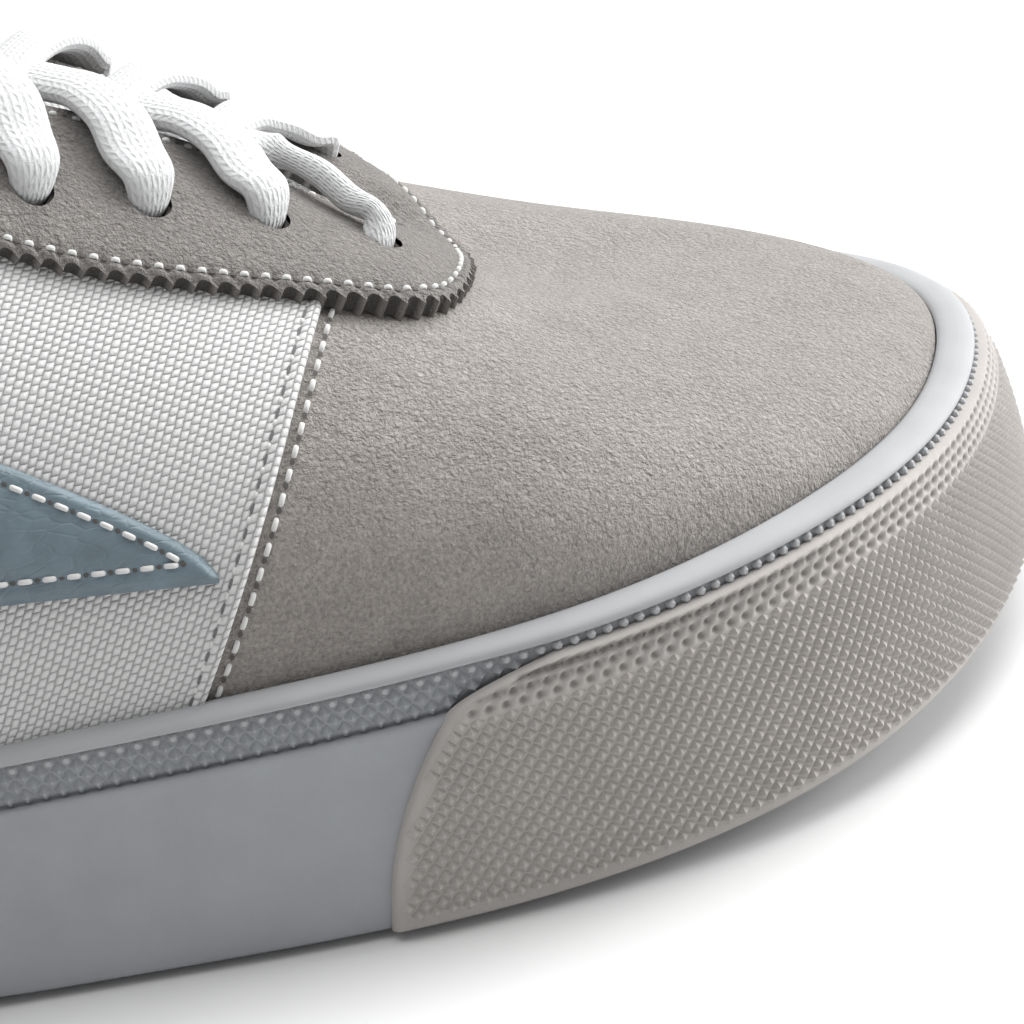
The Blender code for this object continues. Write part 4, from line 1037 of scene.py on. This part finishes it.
def make_eyestay():
    """Suede band with a pinked lower edge, round the throat, with punched eyelets."""
    looks = make_materials()
    columns = 1301
    shares = np.linspace(TOP_INNER + 0.001, TOP_OUTER - 0.001, columns)
    width, far = band_width(shares), throat_distance(shares)
    way = run_length(surface(shares, rises_below(shares, width), 2 * MM))
    notch = np.abs(((way / NOTCH_PITCH) % 1.0) * 2 - 1)
    tooth = NOTCH_DEPTH * np.sqrt(1 - notch ** 2)
    drops = [width - depth - tooth * np.clip(1 - depth / (1.9 * MM), 0, 1)
             for depth in np.array([0.0, 0.25, 0.7, 1.3, 2.0, 2.8, 3.6, 5.0]) * MM]
    hole = smooth_step((far - 0.6 * EYELET_FIRST) / (0.3 * EYELET_FIRST))
    border = width - 5.0 * MM
    low_hole = (EYELET_FROM_EDGE + EYELET_RADIUS * 1.15) * hole + border * 0.7 * (1 - hole)
    high_hole = (EYELET_FROM_EDGE - EYELET_RADIUS * 1.15) * hole + border * 0.3 * (1 - hole)
    for high, low, count in ((border, low_hole, 4), (low_hole, high_hole, 20), (high_hole, -0.1 * MM, 12)):
        drops += [high * (1 - share) + low * share for share in np.linspace(0, 1, count + 1)[1:]]
    drops = np.array(drops)
    inside = width[None] - drops
    rises = np.stack([rise_below_top(s, np.clip(drop, 0, None)) for s, drop in zip(shares, drops.T)], -1)
    on_canvas = smooth_step((far - 19.0 * MM) / (7.0 * MM))[None]
    behind = smooth_step((far - 3.0 * MM) / (6.0 * MM))[None]
    raised = on_canvas + (behind - on_canvas) * smooth_step(inside / (8.0 * MM))
    over = 0.3 * MM + (CANVAS + 0.2 * MM) * raised * np.clip(2.2 * (1 - inside / width[None]), 0, 1)
    line_low = -0.42 * MM * ridge(inside, 2.2, 0.42) * (0.55 + 0.45 * notch[None] ** 2)
    line_high = -0.22 * MM * ridge(drops, 1.9, 0.5)
    pillow = 0.36 * MM * ridge(inside, 1.4, 0.6) * (1 - notch[None] ** 2)
    round_low = rounded(inside / (0.5 * MM)) * 0.1 + 0.42 + 0.48 * smooth_step(inside / (3.4 * MM))
    round_high = rounded(drops / (0.6 * MM)) * 0.5 + 0.5
    offset = over + (SUEDE + 0.3 * MM) * np.minimum(round_low, round_high) + line_low + line_high + pillow
    panel("eyestay_suede", np.broadcast_to(shares, drops.shape), rises, offset, SUEDE + 0.9 * MM,
          [looks["eyestay"], looks["pinked_edge"]], ("eyestay",),
          uv=np.stack([np.broadcast_to(way, drops.shape), inside], -1), punched=True)
    rows, holes = [], []
    for drop, under, sink, pitch, length, radius, start in (
            (width - 2.2 * MM, 0.16, 0.14, NOTCH_PITCH, 1.15, 0.36, 0.0),
            (np.full(columns, 1.9 * MM), 0.12, 0.12, SEAM_PITCH, 1.1, 0.3, 0.5)):
        rise = rises_below(shares, drop)
        out = upper_normal(shares, rise)
        top = np.array([np.interp(-drop[k], -drops[:, k], offset[:, k]) for k in range(columns)])
        path = surface(shares, rise, 0.0) + out * (top + under * MM)[:, None] - out * sink * MM
        rows.append(stitch_row(path, out, pitch, length * MM, start=start))
        holes.append(holes_along(path, out, pitch, radius * MM, 0.5 - start))
    add_stitches("eyestay_stitches", rows, holes)


def eyelet_place(side, index):
    """Share, rise, point on the eyestay and outward direction of an eyelet."""
    share = float(share_along_throat(side, EYELET_FIRST + index * EYELET_PITCH))
    rise = float(rise_below_top(share, EYELET_FROM_EDGE))
    return share, rise, surface(share, rise, SUEDE + 1.1 * MM), upper_normal(share, rise)


EYELETS = [(side, index) for side in (INNER, OUTER) for index in range(EYELET_COUNT)]


def punch(points, faces, slots, radius, snap):
    """Take the faces near each eyelet's axis away, and move the hole's rim on to the circle."""
    keep = np.ones(len(faces), bool)
    for side, index in EYELETS:
        centre, normal = eyelet_place(side, index)[2:]
        way = points - centre
        depth = way @ normal
        flat = way - depth[:, None] * normal
        reach = np.linalg.norm(flat, axis=1)
        near = (reach < radius) & (np.abs(depth) < 9 * MM)
        gone = near[faces].all(axis=1)
        keep &= ~gone
        rim = np.zeros(len(points), bool)
        rim[np.unique(faces[near[faces].any(axis=1) & ~gone])] = True
        rim &= near
        if snap:
            points[rim] += flat[rim] * (radius / np.clip(reach[rim], 1e-6, None) - 1)[:, None]
    return points, faces[keep], slots[keep]


def make_eyelets():
    """Rolled rim and dark bore of every punched eyelet."""
    turn = np.arange(28) / 28 * 2 * math.pi
    radius = EYELET_RADIUS / MM
    profile = ((radius + 0.45, -0.3), (radius + 0.3, 0.02), (radius + 0.02, 0.06), (radius - 0.2, -0.15),
               (radius - 0.25, -0.7), (radius - 0.25, -5.2))
    ring = np.array([[math.cos(a) * r, math.sin(a) * r, z] for r, z in profile for a in turn])
    places = []
    for side, index in EYELETS:
        share, rise, point, normal = eyelet_place(side, index)
        ahead = surface(share + 1e-4, rise) - surface(share - 1e-4, rise)
        places.append(frames(point[None], ahead[None], normal[None], MM)[0])
    faces = grid_faces(len(profile), 28, wrap_columns=True, flip=True)
    add_piece("eyelet_rims", *copies(ring, faces, np.array(places)), [make_materials()["eyelet"]])


def ribbon(knots, ups, widths, thicknesses, samples=14, sides=24):
    """Flat cord swept through knots, with its own width and thickness at each."""
    fine = np.linspace(0, len(knots) - 1, (len(knots) - 1) * samples + 1)

    def spline(values):
        values = np.array(values, float)
        i = np.clip(fine.astype(int), 0, len(knots) - 2)
        f = (fine - i).reshape((-1,) + (1,) * (values.ndim - 1))
        pad = np.concatenate([2 * values[:1] - values[1:2], values, 2 * values[-1:] - values[-2:-1]])
        a, b, c, d = pad[i], pad[i + 1], pad[i + 2], pad[i + 3]
        bend = (2 * a - 5 * b + 4 * c - d) * f ** 2 + (3 * b - 3 * c + d - a) * f ** 3
        return 0.5 * (2 * b + (c - a) * f + bend)

    path, up, width, thick = map(spline, (knots, ups, widths, thicknesses))
    ahead = np.gradient(path, axis=0)
    ahead /= np.linalg.norm(ahead, axis=1)[:, None]
    flat = np.cross(ahead, up)
    flat /= np.linalg.norm(flat, axis=1)[:, None]
    high = np.cross(flat, ahead)
    turn = np.arange(sides) / sides * 2 * math.pi
    c, s = np.cos(turn), np.sin(turn)
    across = np.sign(c) * np.abs(c) ** 0.9
    tall = np.sign(s) * np.abs(s) ** 0.9
    points = (path[:, None] + flat[:, None] * (across[None] * width[:, None] / 2)[..., None]
              + high[:, None] * (tall[None] * thick[:, None] / 2)[..., None])
    way = run_length(path)
    around = run_length(np.column_stack([across * LACE_WIDTH / 2, tall * LACE_THICKNESS / 2]))
    uv = np.stack(np.meshgrid(way, around, indexing="ij"), -1)
    return points.reshape(-1, 3), grid_faces(len(path), sides, wrap_columns=True), uv.reshape(-1, 2)


def lace_run(side, index, onward):
    """Knots of one lace from its eyelet over the near edge and under the far edge to the next eyelet."""
    point, normal = eyelet_place(side, index)[2:]
    far_share, far_rise, far_point, far_normal = eyelet_place(-side, index + onward)
    lean = -0.05 if index == 0 else -0.12
    near_edge = share_along_throat(side, EYELET_FIRST + (index + lean) * EYELET_PITCH)
    far_edge = share_along_throat(-side, EYELET_FIRST + (index + 0.75 * onward) * EYELET_PITCH)
    top = SUEDE + 1.1 * MM
    half = LACE_THICKNESS / 2
    up = np.array([0, 0, 1.0])
    edge_normal = upper_normal(near_edge, 0.97)
    edge = surface(near_edge, 0.985, top + half + 0.5 * MM)
    under = surface(far_edge, 0.99, -WALL - 0.4 * MM)
    middle = (edge + under) / 2 + up * (1.6 * MM + 0.7 * MM * side)
    toward = edge - point
    toward /= np.linalg.norm(toward)
    across = np.cross(normal, toward)
    knots = [
        point - normal * 4.6 * MM + toward * 0.4 * MM, point - normal * 2.2 * MM + toward * 0.2 * MM,
        point + normal * 0.2 * MM + toward * 0.3 * MM, point + normal * (half + 0.5 * MM) + toward * 2.0 * MM,
        point * 0.55 + edge * 0.45 + normal * 1.1 * MM, point * 0.2 + edge * 0.8 + normal * 0.8 * MM,
        edge * 0.8 + middle * 0.2 + up * 0.5 * MM, edge * 0.4 + middle * 0.6 + up * 0.5 * MM,
        middle * 0.75 + under * 0.25 + up * 0.5 * MM, middle * 0.3 + under * 0.7 + up * 0.6 * MM,
        under, surface(far_share, far_rise, -WALL - 2.2 * MM), far_point - far_normal * 4.6 * MM,
    ]
    tilt = -normal * 0.1 - toward
    ups = [tilt, tilt, normal * 0.5 - toward * 0.85, normal - toward * 0.3, normal, normal,
           edge_normal * 0.7 + up * 0.3, edge_normal * 0.3 + up * 0.7, up, up * 0.7 + far_normal * 0.3,
           far_normal, far_normal, far_normal]
    wide = LACE_WIDTH
    widths = [4.0 * MM, 4.1 * MM, 4.6 * MM, wide * 0.84, wide, wide, wide * 0.96, wide * 0.88, wide * 0.85,
              wide * 0.85, wide * 0.85, wide * 0.7, 3.2 * MM]
    thick = [3.0 * MM, 3.0 * MM, 3.0 * MM] + [LACE_THICKNESS] * 7 + [LACE_THICKNESS * 0.7] * 2 + [2.4 * MM]
    if index == 0 and side == INNER:
        ups = ups[:3] + [normal * 0.7 + across * 0.5, normal * 0.5 + across * 0.9,
                         normal * 0.4 + across, edge_normal * 0.4 + across * 0.8] + ups[7:]
        widths = widths[:3] + [value * 0.42 for value in widths[3:7]] + widths[7:]
    return knots, ups, widths, thick


def make_laces():
    """Flat laces in a criss-cross, each through its own eyelets."""
    lace = [make_materials()["lace"]]
    runs = [(side, index) for side in (OUTER, INNER) for index in range(EYELET_COUNT)]
    runs.remove((OUTER, EYELET_COUNT - 1))
    for count, (side, index) in enumerate(runs):
        points, faces, uv = ribbon(*lace_run(side, index, int(index < EYELET_COUNT - 1)))
        add_piece(f"lace_{'outer' if side == OUTER else 'inner'}_{index + 1}", points, faces, lace, uv,
                  node=() if count else ("laces",))
    ends, unders, normals = [], [], []
    for side in (INNER, OUTER):
        share, rise, point, normal = eyelet_place(side, 0)
        ends.append([point - normal * 4.4 * MM, surface(share, rise, -WALL - 2.0 * MM)])
        unders.append(surface(share_along_throat(side, EYELET_FIRST * 0.85), 0.99, -WALL - 0.4 * MM))
        normals.append(normal)
    up = np.array([0, 0, 1.0])
    knots = [*ends[0], unders[0], sum(unders) / 2 + up * 0.4 * MM, unders[1], *ends[1][::-1]]
    ups = [normals[0]] * 3 + [up] + [normals[1]] * 3
    widths = [3.2 * MM, 4.5 * MM] + [LACE_WIDTH * 0.9] * 3 + [4.5 * MM, 3.2 * MM]
    points, faces, uv = ribbon(knots, ups, widths, [LACE_THICKNESS * 0.8] * 7)
    add_piece("lace_bar", points, faces, lace, uv)


def patch_edges(back):
    """Heights of the patch's lower and upper edge at a distance behind its front tip."""

    def taper(distance):
        return np.sqrt((PATCH_TAPER * distance) ** 2 + 8 * PATCH_TIP_RADIUS * distance)

    line = PATCH_TIP_HEIGHT + PATCH_SLOPE * back
    low = line + np.clip(PATCH_HEIGHT - taper(PATCH_LENGTH - back), 0, None)
    high = line + np.clip(taper(back), None, PATCH_HEIGHT)
    return low, high


def make_patch(side, name, node):
    """Plain leather patch on the canvas with a bevelled edge and a row of stitches."""
    looks = make_materials()
    front = LENGTH / 2 - PATCH_FRONT_FROM_TOE
    backs = 0.15 * MM + (PATCH_LENGTH - 0.3 * MM) * (1 - np.cos(np.linspace(0, math.pi, 161))) / 2
    across = np.array([0.0, 0.02, 0.05, 0.09, 0.14, 0.22, 0.35, 0.5, 0.65, 0.78, 0.86, 0.91, 0.95, 0.98, 1.0])
    low, high = patch_edges(backs)
    heights = low + (high - low) * across[:, None]
    shares = np.array([share_at(side, front - back, column.mean() / INSTEP_HEIGHT)
                       for back, column in zip(backs, heights.T)])
    rises = np.stack([rise_above_foxing(share, column) for share, column in zip(shares, heights.T)], -1)
    flat = np.stack([np.broadcast_to(backs, heights.shape), heights], -1)
    border = np.concatenate([np.column_stack([backs, low]), np.column_stack([backs, high])[::-1]])
    inside = np.linalg.norm(flat[:, :, None] - border[None, None], axis=-1).min(axis=-1)
    bevel = smooth_step(inside / (0.9 * MM)) * 0.5 + 0.5
    pillow = 0.25 * MM * smooth_step(inside / (5 * MM))
    offset = CANVAS + 0.1 * MM + LEATHER * bevel - 0.3 * MM * ridge(inside, 2.0, 0.45) + pillow
    panel(name, np.broadcast_to(shares, heights.shape), rises, offset, LEATHER + 0.4 * MM,
          [looks["leather"], looks["leather_edge"]], (node,), uv=flat)
    path, out = [], []
    turns = np.linspace(0.035, 0.965, 200)
    for back, top in [(PATCH_LENGTH * t, 0) for t in turns] + [(PATCH_LENGTH * t, 1) for t in turns[::-1]]:
        low, high = patch_edges(back)
        if high - low < 2.3 * PATCH_STITCH_INSET:
            continue
        height = high - PATCH_STITCH_INSET * 1.12 if top else low + PATCH_STITCH_INSET * 1.12
        share = share_at(side, front - back, (low + high) / 2 / INSTEP_HEIGHT)
        rise = rise_above_foxing(share, height)
        path.append(surface(share, rise, CANVAS + 0.1 * MM + LEATHER - 0.05 * MM))
        out.append(upper_normal(share, rise))
    path, out = np.array(path + path[:1]), np.array(out + out[:1])
    add_stitches(name + "_stitches", [stitch_row(path, out, 2.4 * MM, 1.7 * MM, 0.25 * MM)],
                 [holes_along(path, out, 2.4 * MM, 0.3 * MM)])


def counter_top(turn):
    """Height of the heel patch's top edge at a share of its half length."""
    return COUNTER_HEIGHT * (1 - COUNTER_DROP * smooth_step(np.abs(turn)))


def make_counter():
    """Suede patch round the heel with a row of stitches."""
    looks = make_materials()
    reach = COUNTER_HALF_LENGTH / run_length(outline(np.linspace(0, 1, 801)))[-1]
    u, v = np.linspace(-1, 1, 161), np.linspace(0, 1, 41)
    tops = counter_top(u)
    rises = np.stack([rise_above_foxing(t * reach, top * v) for t, top in zip(u, tops)], -1)
    inside = np.minimum(tops[None] * (1 - v[:, None]), (1 - np.abs(u))[None] * COUNTER_HALF_LENGTH)
    offset = (CANVAS + 0.1 * MM + SUEDE * (0.55 + 0.45 * smooth_step(inside / (0.8 * MM)))
              - 0.25 * MM * ridge(inside, 2.2, 0.5))
    panel("heel_suede", np.broadcast_to(u * reach, rises.shape), rises, offset, SUEDE + 0.4 * MM,
          [looks["eyestay"], looks["suede_edge"]], ("heel_counter",))
    shares = np.linspace(-0.94, 0.94, 241)
    rises = np.array([rise_above_foxing(t * reach, counter_top(t) - 2.2 * MM) for t in shares])
    path, out = surface(shares * reach, rises, CANVAS + SUEDE - 0.02 * MM), upper_normal(shares * reach, rises)
    add_stitches("heel_stitches", [stitch_row(path, out, 2.6 * MM, 1.8 * MM)],
                 [holes_along(path, out, 2.6 * MM, 0.26 * MM)])


def make_binding():
    """Canvas tape folded over the collar's edge, with a line of stitches below it."""
    looks = make_materials()
    shares = np.linspace(TOP_OUTER - 1.0 + 0.002, TOP_INNER - 0.002, 481)
    edge, step = wall_thickness(shares, 1.0), topline_step(shares)
    rings = [surface(shares, rises_below(shares, drop * MM), lift * MM)
             for drop, lift in ((7.0, 0.35), (6.8, 1.15), (6.0, 1.3), (3.0, 1.3), (0.4, 1.3))]
    for turn in np.radians((40, 70, 100, 130, 155)):
        rings.append(surface(shares, 1.0, -edge / 2 + (edge / 2 + 1.2 * MM) * math.cos(turn))
                     + step * ((edge * 0.35 + 1.2 * MM) * math.sin(turn))[:, None])
    for drop, lift in ((0.6, -1.0), (4.0, -1.0), (7.0, -1.0), (7.0, 0.2)):
        rises = rises_below(shares, drop * MM)
        rings.append(surface(shares, rises, -wall_thickness(shares, rises) + lift * MM))
    grid = np.array(rings)
    uv = np.stack([np.broadcast_to(run_length(grid[3]), grid.shape[:2]), down_length(grid)], -1)
    flip = face_turn(grid[2:5], upper_normal(np.broadcast_to(shares, grid[2:5].shape[:2]), 1.0))
    add_piece("collar_binding", grid.reshape(-1, 3), grid_faces(len(grid), len(shares), flip=flip),
              [looks["canvas"]], uv.reshape(-1, 2))
    path = surface(shares, rises_below(shares, 5.4 * MM), 1.36 * MM)
    normals = upper_normal(shares, rise_below_top(0.0, 5 * MM))
    add_stitches("binding_stitches", [stitch_row(path, normals, SEAM_PITCH, 1.8 * MM)])


def tongue_row(inner_share, outer_share, depth, points=13):
    """Cross-section of the tongue under both throat edges and over the gap between them."""
    runs = []
    for share in (inner_share, outer_share):
        distance = float(throat_distance(share))
        full = float(throat_distance(TOP_INNER))
        toward_top = smooth_step((distance - TONGUE_TAPER_FROM) / (full - TONGUE_TAPER_FROM))
        reach = TONGUE_UNDER_EDGE + (TONGUE_TOP_UNDER_EDGE - TONGUE_UNDER_EDGE) * toward_top
        rises = np.linspace(rise_below_top(share, min(reach, THROAT_SHARE_UNDER * distance)), 1.0, points)
        runs.append(upper(share, rises, -(wall_thickness(share, rises) + 0.5 * MM + depth)))
    a, b = runs[0][-1], runs[1][-1]
    middle = (a + b) / 2
    middle[2] += TONGUE_CROWN * abs(a[1] - b[1])
    t = np.linspace(0, 1, 9)[1:-1, None]
    bridge = (1 - t) ** 2 * a + 2 * t * (1 - t) * (2 * middle - (a + b) / 2) + t ** 2 * b
    return np.concatenate([runs[0], bridge, runs[1][::-1]])


def make_tongue():
    """Padded canvas tongue with a rounded top edge."""
    distances = np.linspace(TONGUE_FRONT, float(throat_distance(TOP_INNER)), 44)
    top, low = ([tongue_row(share_along_throat(INNER, distance), share_along_throat(OUTER, distance), depth)
                 for distance in distances] for depth in (0.0, TONGUE_THICKNESS))
    way = ((top[-1] + low[-1]) - (top[-4] + low[-4])).mean(axis=0)
    way /= np.linalg.norm(way)
    at, wide = zip(*((0.0, 1.0),) + TONGUE_TOP)
    for rise in np.linspace(0, 1, 25)[1:]:
        for rows in (top, low):
            row = rows[len(distances) - 1] + way * TONGUE_RISE * rise
            row[:, 1] *= np.interp(rise, at, wide)
            rows.append(row)
    top, low = np.array(top), np.array(low)
    count = top.shape[1]
    edge = np.minimum(np.arange(count), np.arange(count)[::-1]) / 3.0
    end = np.minimum(np.arange(len(top))[::-1], 4) / 4.0
    fat = np.minimum((0.5 + 0.5 * rounded(edge))[None], (0.45 + 0.55 * rounded(end))[:, None])[..., None]
    middle = (top + low) / 2
    top, low = middle + (top - middle) * fat, middle + (low - middle) * fat
    grid = np.concatenate([top, low[:, ::-1]], axis=1)
    uv = np.stack(np.meshgrid(run_length(grid[:, count // 2]), run_length(grid[20]), indexing="ij"), -1)
    ends = []
    for row in (0, len(grid) - 1):
        base = row * grid.shape[1]
        last = base + grid.shape[1] - 1
        ends += [[base + k, base + k + 1, last - k - 1, last - k] for k in range(count - 1)]
    faces = np.concatenate([grid_faces(len(grid), grid.shape[1], wrap_columns=True), np.array(ends)])
    add_piece("tongue_pad", grid.reshape(-1, 3), faces, [make_materials()["canvas"]], uv.reshape(-1, 2),
              node=("tongue",))


def make_insole():
    """Insole with a rounded edge."""
    edge = side_point(np.linspace(0, 1, 361), FOXING_WALL + GAP + WALL + GAP, 1.0)
    steps = ((0.3, 0.0), (3.2, 0.0), (4.0, 0.02), (4.2, 0.06), (4.2, 0.3), (4.2, 0.7), (4.2, 0.985))
    ring_piece("insole_sheet", filled(edge, steps, footbed), [make_materials()["insole"]], node=("insole",),
               wrap=False)


# Stage

CAMERA = {"azimuth": -15.65, "elevation": 25.98, "roll": -7.71, "distance": 0.45693,
          "target": (0.08386, -0.0089, 0.02211), "lens": 143.94}
# Each lamp's name, place, size and share of the key light
LAMPS = (("key", (0.75, 0.5, 1.25), 1.0, 0.68), ("top", (-0.2, -0.1, 1.5), 1.2, 0.36),
         ("toe", (1.45, 0.0, 0.42), 0.9, 0.75))
LAMP_TARGET = Vector((0.05, 0, 0.04))


def make_stage():
    """Floor, soft lights and the photograph's camera."""
    scene = bpy.context.scene
    looks = scene.shoe_look
    bpy.ops.mesh.primitive_plane_add(size=8.0, location=(0, 0, 0))
    floor = bpy.context.active_object
    floor.name = "floor"
    floor.data.materials.append(Look("floor_look", (0.8, 0.8, 0.8), 0.9).material)
    scene.world = bpy.data.worlds.new("studio")
    scene.world.use_nodes = True
    back = scene.world.node_tree.nodes["Background"].inputs
    back["Color"].default_value = (1.0, 1.0, 1.0, 1.0)
    back["Strength"].default_value = looks.fill_light
    for name, place, size, share in LAMPS:
        bpy.ops.object.light_add(type="AREA", location=place)
        lamp = bpy.context.active_object
        lamp.name = name
        lamp.data.size = size
        lamp.data.energy = looks.key_light * share
        lamp.rotation_euler = (LAMP_TARGET - Vector(place)).to_track_quat("-Z", "Y").to_euler()
    bpy.ops.object.camera_add()
    camera = scene.camera = bpy.context.active_object
    a, e, r = (math.radians(CAMERA[key]) for key in ("azimuth", "elevation", "roll"))
    back_way = Vector((math.sin(a) * math.cos(e), -math.cos(a) * math.cos(e), math.sin(e)))
    right = Vector((math.cos(a), math.sin(a), 0))
    up = back_way.cross(right)
    x = right * math.cos(r) + up * math.sin(r)
    y = up * math.cos(r) - right * math.sin(r)
    place = Vector(CAMERA["target"]) + back_way * CAMERA["distance"]
    camera.matrix_world = Matrix.Translation(place) @ Matrix((x, y, back_way)).transposed().to_4x4()
    camera.data.lens = CAMERA["lens"]
    camera.data.sensor_width = 36
    camera.data.clip_start = 0.01
    scene.view_settings.view_transform = "Standard"


# Add-on

def color_setting(name, words, default):
    """A colour that the panel shows."""
    return bpy.props.FloatVectorProperty(name=name, description=words, subtype="COLOR", size=3, min=0, max=1,
                                         default=default)


class ShoeLook(bpy.types.PropertyGroup):
    """Colours of the shoe and strength of the studio lights."""
    suede_color: color_setting("Vamp suede", "Colour of the vamp", (0.36, 0.333, 0.312))
    eyestay_color: color_setting("Eyestay suede", "Colour of the eyestay and heel patch", (0.230, 0.214, 0.201))
    canvas_color: color_setting("Canvas", "Colour of the canvas sides", (0.69, 0.69, 0.685))
    rubber_color: color_setting("White rubber", "Colour of the foxing", (0.335, 0.347, 0.366))
    bumper_color: color_setting("Bumper rubber", "Colour of the toe bumper", (0.40, 0.378, 0.36))
    patch_color: color_setting("Patch leather", "Colour of the side patches", (0.145, 0.195, 0.225))
    lace_color: color_setting("Laces", "Colour of the laces", (0.68, 0.685, 0.69))
    key_light: bpy.props.FloatProperty(
        name="Key light", description="Power of the large light over the toe", default=30.0, min=0.0,
        subtype="POWER", unit="POWER")
    fill_light: bpy.props.FloatProperty(
        name="Fill", description="Brightness of the white surroundings", default=0.3, min=0.0)


def piece_operator(name, label, words, build):
    """Operator class that runs one builder."""

    def execute(self, context):
        build()
        return {"FINISHED"}

    return type("SHOE_OT_" + name, (bpy.types.Operator,), {
        "__doc__": words, "bl_idname": "shoe." + name, "bl_label": label,
        "bl_options": {"REGISTER", "UNDO"}, "execute": execute})


def both(build, name, node):
    """Builder of a piece's inner and outer one."""

    def build_both():
        for side, way in ((INNER, "_inner"), (OUTER, "_outer")):
            build(side, name + way, node + way)

    return build_both


OPERATORS = [
    piece_operator("wall", "Foxing wall", "Adds the foxing wall", make_sole_wall),
    piece_operator("footbed", "Footbed", "Adds the floor inside the wall", make_footbed),
    piece_operator("band", "Band points", "Adds the raised points of the band", make_band_dots),
    piece_operator("bumper", "Toe bumper", "Adds the bumper and its lattice", make_toe_bumper),
    piece_operator("tread", "Tread", "Adds the outsole's tread", make_outsole),
    piece_operator("shell", "Upper", "Adds the hollow upper", make_shell),
    piece_operator("quarters", "Canvas sides", "Adds the canvas sides and their seams",
                   both(make_quarter, "canvas", "quarter")),
    piece_operator("eyestay", "Eyestay", "Adds the eyestay and its stitches", make_eyestay),
    piece_operator("eyelets", "Eyelets", "Adds the rims and bores of the eyelets", make_eyelets),
    piece_operator("patches", "Side patches", "Adds the plain side patches",
                   both(make_patch, "patch", "side_patch")),
    piece_operator("counter", "Heel patch", "Adds the suede round the heel", make_counter),
    piece_operator("binding", "Collar binding", "Adds the tape round the collar", make_binding),
    piece_operator("tongue", "Tongue", "Adds the tongue", make_tongue),
    piece_operator("insole", "Insole", "Adds the insole", make_insole),
    piece_operator("laces", "Laces", "Runs the laces through the eyelets", make_laces),
    piece_operator("stage", "Stage", "Adds the floor, lights and camera", make_stage),
]


class SHOE_PT_panel(bpy.types.Panel):
    """Colours and pieces of the shoe."""
    bl_label = "Skateboarding shoe"
    bl_idname = "SHOE_PT_panel"
    bl_space_type = "VIEW_3D"
    bl_region_type = "UI"
    bl_category = "Shoe"

    def draw(self, context):
        looks = context.scene.shoe_look
        for name in looks.bl_rna.properties.keys():
            if name not in ("rna_type", "name"):
                self.layout.prop(looks, name)
        for operator in OPERATORS:
            self.layout.operator(operator.bl_idname)


CLASSES = [ShoeLook, *OPERATORS, SHOE_PT_panel]


def register():
    """Register the classes and the scene's settings."""
    for item in CLASSES:
        bpy.utils.register_class(item)
    bpy.types.Scene.shoe_look = bpy.props.PointerProperty(type=ShoeLook)


def unregister():
    """Take the classes and settings away."""
    del bpy.types.Scene.shoe_look
    for item in reversed(CLASSES):
        bpy.utils.unregister_class(item)


def main():
    """Build every piece and the stage, and write the sizes."""
    register()
    for operator in OPERATORS:
        getattr(bpy.ops.shoe, operator.bl_idname.split(".")[1])()


if __name__ == "__main__":
    main()
